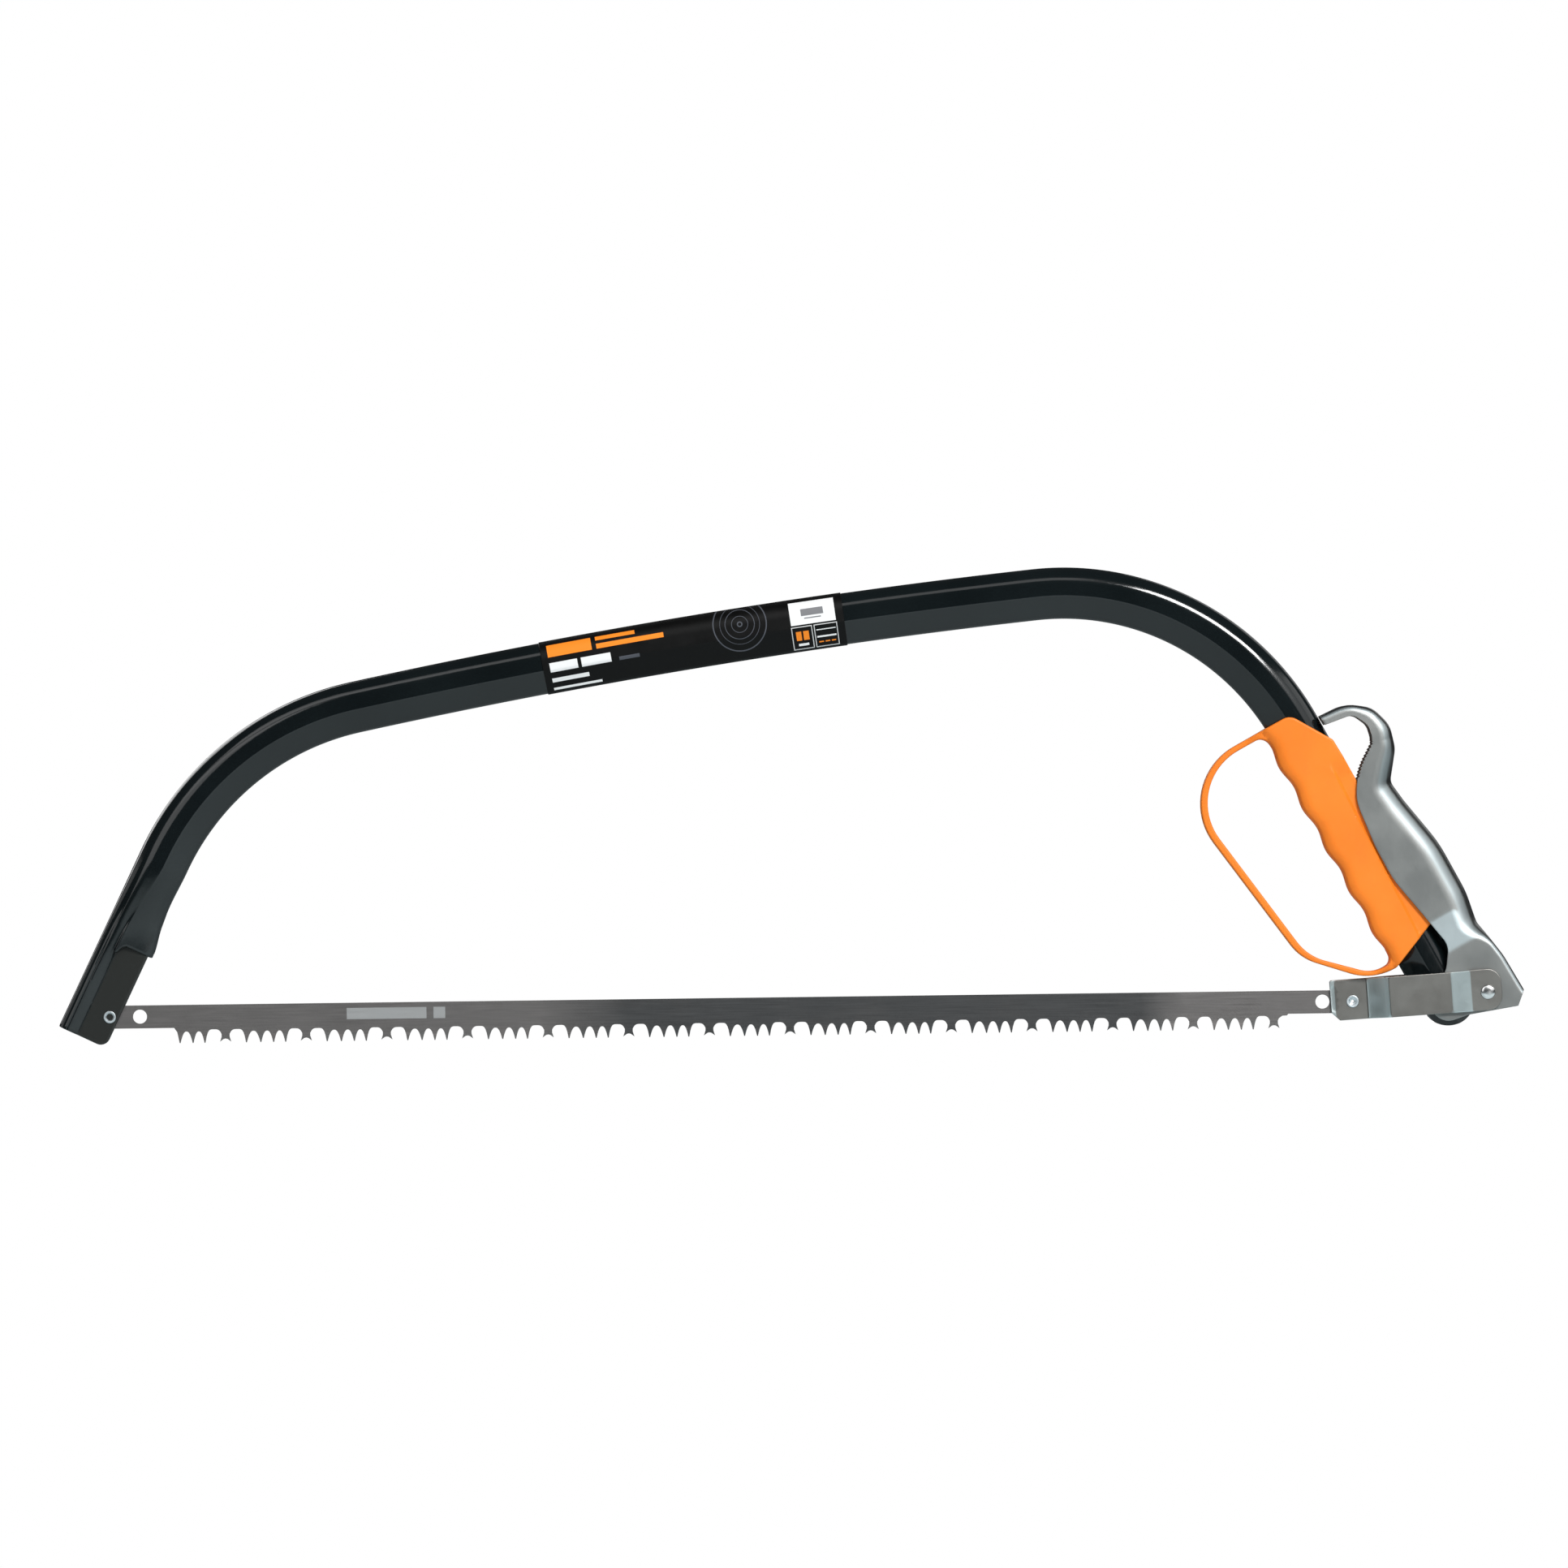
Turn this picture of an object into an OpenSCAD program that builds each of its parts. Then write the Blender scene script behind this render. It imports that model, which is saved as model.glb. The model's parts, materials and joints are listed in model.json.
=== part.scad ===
// Bow saw with a bent tube frame, a guarded hand grip and an over-centre tension lever.
// Millimetres. X runs from the toe to the handle, Y across the saw, Z up, teeth down.
// The origin is the middle of the hand grip. The outlines are drawn from two places:
// the toe pin, for the blade and the toe, and the lever's pivot, for all of the handle.

/* [Blade] */
// Distance between the two pins that hold the blade
blade_span = 530; // [450:5:760]
// Height of the blade's back strip, without the teeth
blade_h = 9.8; // [9:0.2:11]
// Thickness of the blade
blade_t = 0.9; // [0.7:0.05:1]
// Reach of the teeth below the middle of the strip
tooth_reach = 11.5; // [10:0.5:13]
// Length of one group of teeth, which is four cutting teeth and a raker
group_pitch = 34.4; // [33:0.2:40]
// Radius of the spare holes, which fit the pins of other frames
spare_hole_r = 3; // [2.6:0.1:3.2]

/* [Bow] */
// Depth of the tube in the plane of the bow
tube_depth = 22; // [20:1:24]
// Width of the tube across the plane of the bow
tube_w = 15; // [14:0.5:15.5]
// Wall of the tube
tube_wall = 1.2; // [1:0.1:1.6]
// Radius of the bend above the handle, at the tube's centreline
rear_bend_r = 112.7; // [100:1:125]
// Radius of the bend above the toe, at the tube's centreline
front_bend_r = 117.7; // [100:1:125]
// Angle of the handle from the horizontal
handle_lean = 61.27; // [58:0.5:64]
// Angle of the toe from the horizontal
toe_lean = 64.3; // [62:0.5:66]
// Length of the printed sleeve round the top of the bow
sleeve_length = 130; // [60:5:130]

/* [Grip] */
// Width of the grip and of its finger guard where it joins
grip_w = 20.8; // [20:0.4:22]
// Width of the guard's strip
guard_w = 12; // [8:1:14]
// Distance from one finger groove to the next
groove_pitch = 20.2; // [18:0.2:22]

/* [Tension lever] */
// Sheet that the lever is pressed from
lever_sheet = 1.4; // [1.2:0.1:1.6]
// Width of the lever where it closes over the grip
lever_w = 20.4; // [20.2:0.2:21]
// Width of the lever at its pivot
lever_foot_w = 22.8; // [22.6:0.2:24]
// Sheet that the two link plates are pressed from
link_sheet = 1.5; // [1.2:0.1:1.8]

/* [Hidden] */

$fn = 64;
ROUND_FN = 180;      // bends of the tube
LONG_FN = 720;       // the long bend, which is nearly straight
ARC_STEP = 12;       // degrees from one point to the next on a rounded corner
RUN = 0.05;          // radial clearance of a pin that turns in its hole
GAP = 0.3;           // clearance between faces that pass each other
BIG = 60;            // longer than any cut has to be

// Pivots in the plane of the bow, measured from the toe pin
lever_pivot = [blade_span + 40.5, 0.5];
heading = 180 - handle_lean;                 // of the bow as it leaves the lever's pivot
toe_heading = 180 + toe_lean;                // of the bow as it comes down to the toe
link_pivot_at = [15.9, -5.3];                // of the link rivet: back from and along the handle
grip_middle = 80;                            // from the pivot along the handle

function along(h) = [cos(h), sin(h)];
function outward(h) = [sin(h), -cos(h)];
function on_handle(p) = lever_pivot + p[0] * outward(heading) + p[1] * along(heading);

blade_end = [blade_span, 0];
link_pivot = on_handle(link_pivot_at);
link_run = link_pivot - blade_end;
link_len = norm(link_run);
link_tilt = atan2(link_run[1], link_run[0]);
origin = on_handle([0, grip_middle]);

// Tube section: a large round on the outer side, flat sides that end at a shoulder, then flanks
// that close in to a small round inside
round_r = tube_w / 2;
inner_r = 3.3;
shoulder_x = -1.3;                           // from the middle of the tube's depth
flank_cut = 0.05;
half_depth = tube_depth / 2;

// Path of the tube from the pivot to the toe. The long bend and the straight toe take up the rest.
handle_len = 133;
rear_turn = 66.9;
long_turn = 6.08;
front_turn = toe_heading - heading - rear_turn - long_turn;
toe_pin_back = 12.7;                         // from the toe's end to the toe pin
toe_pin_in = 7.2;                            // from the tube's centreline to the toe pin
toe_end = toe_pin_back * along(toe_heading) + toe_pin_in * outward(toe_heading);
rear_start = lever_pivot + handle_len * along(heading);
function chord(r, turn) = 2 * r * sin(turn / 2);
long_start = rear_start + chord(rear_bend_r, rear_turn) * along(heading + rear_turn / 2);
long_heading = heading + rear_turn;
front_heading = long_heading + long_turn;
span_left = toe_end - long_start
    - chord(front_bend_r, front_turn) * along(front_heading + front_turn / 2);
long_way = along(long_heading + long_turn / 2);
toe_way = along(toe_heading);
function cross2(a, b) = a[0] * b[1] - a[1] * b[0];
long_chord = cross2(span_left, toe_way) / cross2(long_way, toe_way);
toe_len = cross2(long_way, span_left) / cross2(long_way, toe_way);
long_bend_r = long_chord / (2 * sin(long_turn / 2));
front_start = long_start + long_chord * long_way;
toe_start = toe_end - toe_len * toe_way;

// Stretches of the tube lap over each other, the straight ones with a slightly thicker wall
lap = 1;
skin = 0.03;
bend_gap = 0.2;                              // degrees left open under a collar

// Pressed toe: a round bead on the outer side and two flat walls with the blade between them
press_len = 43;
bead_r = 4.5;
bead_x = half_depth - bead_r - 0.1;
toe_slot = blade_t + 0.5;
press_wall = tube_wall + 0.1;
toe_half = toe_slot / 2 + press_wall;
toe_corner = 4;
toe_pin_r = 2.5;
rim_r = toe_pin_r + 0.15;
pin_rim = 0.5;                               // how far a pin's rims stand out
pin_bore = 0.7;
cup_r = 1.7;                                 // cup in the end of a pin
cup_deep = 0.8;

// Widths from the middle plane outward, at the handle
grip_land = grip_w / 2 - 1.9;                // where the lever's cheeks close over the grip
foot_half = lever_foot_w / 2;
strap_in = foot_half + GAP;                  // inner face of the link plates beside the pivot
strap_step = 0.9;                            // how much further out they stand at the link rivet
near_in = blade_t / 2 + 0.15;                // inner face of the link plates beside the blade
pivot_r = 3;
bush_r = 4.6;
link_rivet_r = 2.5;
washer_t = strap_step + GAP - 2 * RUN;

// ---------- helpers ----------

function unit(v) = v / norm(v);

// Points of one corner of an outline, b = [x, y, radius], between its neighbours a and c
function corner(a, b, c) =
    b[2] == 0 ? [[b[0], b[1]]] :
    let (
        at = [b[0], b[1]],
        p = unit([a[0], a[1]] - at),
        q = unit([c[0], c[1]] - at),
        half = acos(p * q) / 2,
        tangent = b[2] / tan(half),
        middle = at + unit(p + q) * b[2] / sin(half),
        first = at + p * tangent - middle,
        turn = (cross2(p, q) > 0 ? -1 : 1) * (180 - 2 * half),
        steps = max(1, ceil(abs(turn) / ARC_STEP))
    )
    [for (i = [0:steps])
        let (t = turn * i / steps)
        middle + [first[0] * cos(t) - first[1] * sin(t), first[0] * sin(t) + first[1] * cos(t)]];

// A closed outline from corners [x, y, radius]
function rounded(pts) =
    let (n = len(pts))
    [for (i = [0:n - 1]) each corner(pts[(i + n - 1) % n], pts[i], pts[(i + 1) % n])];

// Moves from the blade's frame, with the toe pin at zero, to the part's own
module seat() {
    translate([-origin[0], 0, -origin[1]]) children();
}

// Stands a side outline up and gives it a thickness from y0 to y1
module slab(y0, y1) {
    rotate([90, 0, 0]) translate([0, 0, -y1]) linear_extrude(y1 - y0) children();
}

module both_sides(y0, y1) {
    slab(y0, y1) children();
    slab(-y1, -y0) children();
}

// A frame at point p whose Z runs along the heading and whose X points outward
module travel(p, h) {
    translate([p[0], 0, p[1]]) rotate([0, 90 - h, 0]) children();
}

// The handle's frame, with the lever's pivot at zero
module handle() {
    seat() travel(lever_pivot, heading) children();
}

// The link's frame, with the blade's rear pin at zero and X running to the link rivet
module link() {
    seat() translate([blade_end[0], 0, blade_end[1]]) rotate([0, -link_tilt, 0]) children();
}

// A round across the saw at [x, z], from -half to half
module cross_round(at, r, half) {
    translate([at[0], -half, at[1]]) rotate([-90, 0, 0]) cylinder(r = r, h = 2 * half);
}

// Two rounds across the saw, outward from y on each side
module cross_rounds_from(at, r, y) {
    for (side = [0, 180])
        translate([at[0], 0, at[1]]) rotate([90, 0, side]) translate([0, 0, y]) cylinder(r = r, h = BIG);
}

module cross_ring(at, r, bore, y0, y1) {
    translate([at[0], y0, at[1]]) rotate([-90, 0, 0]) difference() {
        cylinder(r = r, h = y1 - y0);
        translate([0, 0, -1]) cylinder(r = bore, h = y1 - y0 + 2);
    }
}

// ---------- bow ----------

// Section of the tube with its skin moved outward by grow, X pointing out of the bow. The sides
// cut a little into both rounds, so that they meet them at a clean edge.
module teardrop(grow = 0) {
    big = round_r + grow;
    small = inner_r + grow;
    big_x = half_depth - round_r;
    small_x = inner_r - half_depth;
    shoulder = [shoulder_x - small_x, round_r];
    facing = atan2(shoulder[1], shoulder[0]) + acos(inner_r / norm(shoulder));
    side = [
        [big_x, big - flank_cut],
        [shoulder_x - grow * tan((facing - 90) / 2), big - flank_cut],
        [small_x + (small - flank_cut) * cos(facing), (small - flank_cut) * sin(facing)]
    ];
    translate([big_x, 0]) circle(r = big);
    translate([small_x, 0]) circle(r = small);
    polygon(concat(side, [for (i = [2:-1:0]) [side[i][0], -side[i][1]]]));
}

module tube_section(more = 0) {
    difference() {
        teardrop(more);
        teardrop(-tube_wall - more);
    }
}

// A bend that turns inward from p, where its heading is h. It can start late, by so many degrees.
module bend(p, h, r, turn, fragments, late = 0) {
    middle = p - r * outward(h);
    travel(middle, h + late) rotate([90, 0, 0])
        rotate_extrude(angle = turn - late, $fn = fragments) translate([r, 0]) children();
}

module straight(p, h, length) {
    travel(p, h) linear_extrude(length) children();
}

// The handle's straight stretch, rounded off about the lever's pivot
module handle_stretch(length) {
    difference() {
        straight(lever_pivot - (half_depth + 1) * along(heading), heading, half_depth + 1 + length)
            children();
        travel(lever_pivot, heading) slab(-BIG, BIG) difference() {
            translate([-BIG, -BIG]) square([2 * BIG, BIG - 1]);
            circle(r = half_depth + 0.3);
        }
    }
}

// The pressed toe, seen along the tube
module toe_section() {
    translate([bead_x, 0]) circle(r = bead_r);
    translate([-half_depth, -toe_half]) square([half_depth + bead_x, 2 * toe_half]);
}

// The room inside it: the bead's bore and the blade's slot
module toe_room() {
    translate([bead_x, 0]) circle(r = bead_r - press_wall);
    translate([-BIG, -toe_slot / 2]) square([BIG + bead_x, toe_slot]);
}

// The corner that is rounded off at the toe's inner lower end
module toe_corner_cut() {
    travel(toe_end, toe_heading) slab(-BIG, BIG) difference() {
        translate([-half_depth - 1, -toe_corner]) square([toe_corner + 1, toe_corner + 1]);
        translate([toe_corner - half_depth, -toe_corner]) circle(r = toe_corner);
    }
}

// Where two bends meet: a short straight collar that laps over both
module collar(p, h) {
    straight(p - lap * along(h), h, 2 * lap) tube_section(skin);
}

module frame_tube() {
    press_start = toe_end - press_len * toe_way;
    color("#1d2224") seat() difference() {
        union() {
            handle_stretch(handle_len + lap) tube_section(skin);
            bend(rear_start, heading, rear_bend_r, rear_turn - bend_gap, ROUND_FN) tube_section();
            collar(long_start, long_heading);
            bend(long_start, long_heading, long_bend_r, long_turn, LONG_FN, bend_gap / 10)
                tube_section();
            collar(front_start, front_heading);
            bend(front_start, front_heading, front_bend_r, front_turn, ROUND_FN, bend_gap)
                tube_section();
            straight(toe_start - lap * toe_way, toe_heading, toe_len - press_len + lap)
                tube_section(skin);
            straight(press_start - lap * toe_way, toe_heading, 2 * lap) teardrop(2 * skin);
            straight(press_start, toe_heading, press_len) toe_section();
        }
        straight(press_start - 2 * lap * toe_way, toe_heading, press_len + 3 * lap) toe_room();
        toe_corner_cut();
        cross_round([0, 0], toe_pin_r, BIG);
        cross_round(lever_pivot, bush_r, BIG);
    }
}

// Printed film sleeve, along the long bend
module label_sleeve() {
    from = 82;
    film_in = 0.05;
    film_t = 0.3;
    start = from / long_bend_r * 180 / PI;
    span = sleeve_length / long_bend_r * 180 / PI;
    p = long_start + chord(long_bend_r, start) * along(long_heading + start / 2);
    color("#101112") seat() bend(p, long_heading + start, long_bend_r, span, LONG_FN) difference() {
        teardrop(film_in + film_t);
        teardrop(film_in);
    }
}

// Moulded plug that closes the tube's lower end round the pivot
module end_plug() {
    plug_len = 16;
    color("#151617") seat() difference() {
        handle_stretch(plug_len) teardrop(-tube_wall - skin - RUN);
        cross_round(lever_pivot, bush_r, BIG);
    }
}

module pivot_bush() {
    color("#b9bec2") seat() cross_ring(lever_pivot, bush_r, pivot_r + RUN, -round_r, round_r);
}

// Spacers between the tube and the lever's cheeks
module pivot_washers() {
    in = round_r + RUN;
    out = foot_half - lever_sheet - RUN;
    color("#8f9699") seat() {
        cross_ring(lever_pivot, 7, pivot_r + RUN, in, out);
        cross_ring(lever_pivot, 7, pivot_r + RUN, -out, -in);
    }
}

// Hollow pin with a cupped rim on each side of the toe
module toe_pin() {
    out = toe_half + pin_rim;
    color("#c3cdd3") seat() difference() {
        union() {
            cross_round([0, 0], toe_pin_r, out);
            cross_ring([0, 0], rim_r, pin_bore, toe_half, out);
            cross_ring([0, 0], rim_r, pin_bore, -out, -toe_half);
        }
        cross_round([0, 0], pin_bore, BIG);
        cross_rounds_from([0, 0], cup_r, out - cup_deep);
    }
}

// ---------- grip ----------

// Side outlines of the handle: X is back from and Y along the line of the tube, from the pivot

grip_front = 13.1;                           // from the tube's centreline to the finger grooves
groove_depth = 0.75;
first_ridge = 40;
groove_from = 27;
groove_to = 133;
groove_steps = 40;
grip_top = 138.6;
grip_back = half_depth + 0.8;
land_from = 3.5;                             // where the sides step in under the lever's cheeks

function groove(s) = -grip_front - groove_depth * cos(360 * (s - first_ridge) / groove_pitch);

grip_outline = concat(
    [for (i = [0:groove_steps])
        let (s = groove_from + (groove_to - groove_from) * i / groove_steps) [groove(s), s]],
    rounded([
        [-13, grip_top, 2], [0.5, grip_top, 6], [half_depth, 121, 3], [grip_back, 112, 8],
        [grip_back, 32.8, 1], [-13, 22.3, 2]
    ])
);

guard_outer = [
    [-8, grip_top - 0.2, 0], [-58.3, grip_top - 0.2, 28], [-46, 45.8, 22], [-23.8, 22.4, 24],
    [-12, 22.9, 0]
];

// The finger opening: the same loop one strip thickness inside, closed by the grip's front
guard_inner = [
    [-12.2, grip_top - 2.5, 5], [-12.2, 25.2, 3.6], [-22.3, 25.2, 13], [-43, 44.6, 22],
    [-54.9, grip_top - 2.5, 25.5]
];

// The tube's room in the grip, all the way through
module tube_room(clear) {
    seat() straight(lever_pivot, heading, handle_len + lap) teardrop(clear + skin);
    seat() bend(rear_start, heading, rear_bend_r, rear_turn / 4, ROUND_FN) teardrop(clear);
}

module grip() {
    color("#f58a2c") difference() {
        handle() union() {
            slab(-grip_w / 2, grip_w / 2) polygon(grip_outline);
            slab(-guard_w / 2, guard_w / 2) difference() {
                polygon(rounded(guard_outer));
                polygon(rounded(guard_inner));
            }
        }
        handle() both_sides(grip_land, BIG) translate([land_from, 0]) square([BIG, 3 * BIG]);
        tube_room(RUN);
    }
}

// ---------- tension lever ----------

// Corners of the lever from the hook's tip, down its back to the beak, round the pivot and up
// the serrated inner edge
lever_outline = rounded([
    [11.5, 131.2, 0], [21.5, 131.9, 9], [33.5, 125, 9], [35.6, 113.5, 14], [33, 103, 10],
    [24.7, 93.5, 6], [25.4, 83, 30], [29.6, 60, 60], [29.4, 36, 40], [26.9, 22.5, 8], [29.6, 5, 30],
    [30.3, -12.1, 0.8], [24.8, -16.1, 7], [4, -9.8, 8], [-8.6, -7.6, 7.5], [-8.2, 6.5, 6],
    [4.5, 10.5, 10], [11.2, 20, 8], [8.2, 37, 20], [4.5, 56, 40], [4.8, 72, 60], [7.2, 93, 20],
    [14.2, 103.8, 30], [26.2, 111.8, 6], [27.6, 118.5, 6], [24.2, 125.7, 5], [11.7, 127.6, 0]
]);

// The room inside the channel: the outline moved in by one sheet from the lever's back, and
// left open on the side of the grip and under the pivot
module lever_room() {
    offset(delta = -lever_sheet) union() {
        polygon(lever_outline);
        translate([-BIG, -BIG]) square([BIG + 16, 2.3 * BIG]);
        polygon([
            [-BIG, BIG], [16, BIG], [16, 106], [28.6, 112.5], [29.2, 119], [25.8, 126.6], [11, 128.4],
            [-BIG, 128.4]
        ]);
        polygon([[0, -BIG], [24, -BIG], [24, 0], [0, 0]]);
    }
}

// Where the channel steps out from the grip's width to the foot's
foot_top = 33;
foot_overlap = 16;

module above(s) {
    translate([-BIG, s]) square([3 * BIG, 3 * BIG]);
}

module below(s) {
    translate([-BIG, s - 3 * BIG]) square([3 * BIG, 3 * BIG]);
}

module tension_lever() {
    upper = lever_w / 2;
    color("#aeb6b8") difference() {
        handle() union() {
            slab(-upper, upper) intersection() {
                polygon(lever_outline);
                above(foot_overlap);
            }
            slab(-foot_half, foot_half) intersection() {
                polygon(lever_outline);
                below(foot_top);
            }
        }
        handle() slab(lever_sheet - upper, upper - lever_sheet) lever_room();
        handle() slab(lever_sheet - foot_half, foot_half - lever_sheet) intersection() {
            lever_room();
            below(foot_overlap);
        }
        seat() cross_round(lever_pivot, pivot_r, BIG);
        seat() cross_round(link_pivot, link_rivet_r, BIG);
    }
}

// Rivet that turns in the bush, flush with the outside of the cheeks
module pivot_rivet() {
    color("#c9ced0") seat() cross_round(lever_pivot, pivot_r, foot_half + 0.2);
}

// Tube between the cheeks, so that the link rivet can't pinch them
module lever_spacer() {
    half = foot_half - lever_sheet;
    color("#a7adb0") seat() cross_ring(link_pivot, 4.4, link_rivet_r, -half, half);
}

module link_rivet() {
    out = strap_in + strap_step + link_sheet;
    head_r = 3.1;
    head_h = 1.1;
    dome_r = (head_r * head_r + head_h * head_h) / (2 * head_h);
    color("#e3e7e8") seat() {
        cross_round(link_pivot, link_rivet_r, out + 0.2);
        for (side = [0, 180])
            translate([link_pivot[0], 0, link_pivot[1]]) rotate([90, 0, side])
                translate([0, 0, out + RUN]) intersection() {
                    translate([0, 0, head_h - dome_r]) sphere(r = dome_r);
                    cylinder(r = head_r + 1, h = head_h + 1);
                }
    }
}

module link_washers() {
    in = foot_half + RUN;
    color("#9da4a6") seat() {
        cross_ring(link_pivot, 5.5, link_rivet_r + RUN, in, in + washer_t);
        cross_ring(link_pivot, 5.5, link_rivet_r + RUN, -in - washer_t, -in);
    }
}

// ---------- link ----------

// Plan of one link plate from the blade's pin to the link rivet: it steps out twice
link_front = -9.2;
link_back = link_len + 6;
step_one = [6.5, 15.2];
step_two = [42, 50];

link_outline = rounded([
    [link_front, 9.5, 0.8], [46, 9.5, 30], [52, 9.8, 0], [link_back, 9.8, 6],
    [link_back, -7.8, 6], [-5.8, -7.8, 0.5], [link_front, -4.3, 0.5]
]);

// The plate's folded strip, seen from above, then cut to its side outline
module link_plate() {
    wide = strap_in;
    widest = strap_in + strap_step;
    intersection() {
        translate([0, 0, -BIG / 2]) linear_extrude(BIG) polygon([
            [link_front - 1, near_in], [step_one[0], near_in], [step_one[1], wide],
            [step_two[0], wide], [step_two[1], widest], [link_back + 1, widest],
            [link_back + 1, widest + link_sheet], [step_two[1] - 0.3, widest + link_sheet],
            [step_two[0] - 0.3, wide + link_sheet], [step_one[1] - 1, wide + link_sheet],
            [step_one[0] - 1, near_in + link_sheet], [link_front - 1, near_in + link_sheet]
        ]);
        slab(0, BIG) polygon(link_outline);
    }
}

module drilled_link_plate() {
    color("#8e8f8d") difference() {
        link() children();
        seat() cross_round(blade_end, toe_pin_r, BIG);
        seat() cross_round(link_pivot, link_rivet_r + RUN, BIG);
    }
}

module link_plate_front() {
    drilled_link_plate() mirror([0, 1, 0]) link_plate();
}

module link_plate_back() {
    drilled_link_plate() link_plate();
}

// The blade's rear pin: a stud in each plate, that stops short of the blade's plane
module blade_studs() {
    out = near_in + link_sheet + pin_rim;
    color("#c3cdd3") seat() difference() {
        union() {
            cross_ring(blade_end, toe_pin_r, pin_bore, near_in, out);
            cross_ring(blade_end, toe_pin_r, pin_bore, -out, -near_in);
        }
        cross_rounds_from(blade_end, cup_r, out - cup_deep);
    }
}

// ---------- blade ----------

strip_low = -5;
first_raker = 49.2;
pegs = [8.9, 15, 20.5, 25.6];                // cutting teeth, from the raker before them
wide_top = -5.8;                             // roof of the gullets beside a raker
peg_top = -6.6;                              // roof of the gullets between cutting teeth
neck = 1.7;                                  // half width of a raker where it is narrowest
neck_z = -7.8;
tail = 6.5;                                  // blade beyond each pin
spare_hole_at = 12.8;                        // from each pin
arch_points = 9;
last_raker_room = 22;                        // least room from the last raker to the rear pin

rakers = floor((blade_span - first_raker - last_raker_room) / group_pitch) + 1;

// Roof of a gullet from point a to point b
function arch(a, b, top, power) = [
    for (i = [1:arch_points - 1])
        let (t = 2 * i / arch_points - 1)
        [(a[0] + b[0] + (b[0] - a[0]) * t) / 2, top - (top - (t < 0 ? a[1] : b[1])) * pow(abs(t), power)]
];

function raker(x) = [for (p = [
    [-neck, neck_z], [-neck, -9], [-2.4, 0.4 - tooth_reach], [-1.1, -10.2], [0, -9.8],
    [1.1, -10.2], [2.4, 0.4 - tooth_reach], [neck, -9], [neck, neck_z]
]) [x + p[0], p[1]]];

function peg(x) = [[x - 0.2, -tooth_reach], [x + 0.2, -tooth_reach]];

function gullets(x, low, high) = [
    for (i = [low:high - 1])
        each concat(peg(x + pegs[i]), i < high - 1 ? arch(
            [x + pegs[i] + 0.2, -tooth_reach], [x + pegs[i + 1] - 0.2, -tooth_reach], peg_top, 2.4
        ) : [])
];

// Cutting teeth from one raker at x to the next
function group_of_teeth(x) = concat(
    arch([x + neck, neck_z], [x + pegs[0] - 0.2, -tooth_reach], wide_top, 4),
    gullets(x, 0, 4),
    arch([x + pegs[3] + 0.2, -tooth_reach], [x + group_pitch - neck, neck_z], wide_top, 4)
);

lead_in = first_raker - group_pitch;
blade_outline = concat(
    [[-tail, strip_low], [27.3, strip_low], [28.6, -6.8]],
    gullets(lead_in, 1, 4),
    arch([lead_in + pegs[3] + 0.2, -tooth_reach], [first_raker - neck, neck_z], wide_top, 4),
    [for (n = [0:rakers - 1])
        let (x = first_raker + n * group_pitch)
        each concat(raker(x), n < rakers - 1 ? group_of_teeth(x) : [])],
    let (x = first_raker + (rakers - 1) * group_pitch)
    [[x + 2.2, -6.8], [x + 3.6, -5.8], [x + 5.6, -5.7], [x + 6.2, strip_low]],
    [[blade_span + tail, strip_low], [blade_span + tail, strip_low + blade_h],
     [-tail, strip_low + blade_h]]
);

module blade() {
    color("#636568") seat() difference() {
        slab(-blade_t / 2, blade_t / 2) polygon(blade_outline);
        for (x = [0, blade_span]) cross_round([x, 0], toe_pin_r + RUN, BIG);
        for (x = [spare_hole_at, blade_span - spare_hole_at])
            cross_round([x, 0], spare_hole_r, BIG);
    }
}

frame_tube();
label_sleeve();
grip();
end_plug();
pivot_bush();
pivot_washers();
toe_pin();
tension_lever();
pivot_rivet();
lever_spacer();
link_rivet();
link_washers();
link_plate_front();
link_plate_back();
blade_studs();
blade();
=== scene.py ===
import json
from math import acos, atan2, ceil, copysign, cos, degrees, pi, radians, sin, tan

import bmesh
import bpy
import numpy as np
from mathutils import Matrix, Vector
from mathutils.geometry import delaunay_2d_cdt


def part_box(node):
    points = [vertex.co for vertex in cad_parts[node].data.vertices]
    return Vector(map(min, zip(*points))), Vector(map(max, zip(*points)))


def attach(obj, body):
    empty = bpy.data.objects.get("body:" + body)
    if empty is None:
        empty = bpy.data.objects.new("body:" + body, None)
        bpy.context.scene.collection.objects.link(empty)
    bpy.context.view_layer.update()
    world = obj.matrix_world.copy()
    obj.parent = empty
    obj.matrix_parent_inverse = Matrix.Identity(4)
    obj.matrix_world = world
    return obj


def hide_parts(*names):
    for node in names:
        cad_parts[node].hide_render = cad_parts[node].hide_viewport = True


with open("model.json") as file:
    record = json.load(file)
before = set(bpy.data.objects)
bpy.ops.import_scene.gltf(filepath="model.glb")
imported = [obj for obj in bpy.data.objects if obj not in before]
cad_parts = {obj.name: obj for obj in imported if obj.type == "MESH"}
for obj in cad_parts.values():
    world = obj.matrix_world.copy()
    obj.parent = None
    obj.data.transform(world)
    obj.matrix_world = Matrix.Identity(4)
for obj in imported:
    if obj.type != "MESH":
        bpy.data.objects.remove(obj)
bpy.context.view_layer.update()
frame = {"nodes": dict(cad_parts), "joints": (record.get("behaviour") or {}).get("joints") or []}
scene = bpy.context.scene
MM = 0.001  # outlines and sizes below are in millimetres


# ---- places in the plane of the saw ----

class Place:
    """A frame in the plane of the saw: a middle, and the angle at which its first axis lies."""

    def __init__(self, middle, tilt):
        self.middle = np.array(middle, float)
        self.tilt = tilt
        self.axes = np.array([[cos(tilt), sin(tilt)], [-sin(tilt), cos(tilt)]])

    def at(self, points):
        return self.middle + np.asarray(points, float) @ self.axes

    def local(self, points):
        return (np.asarray(points, float) - self.middle) @ self.axes.T


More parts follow.
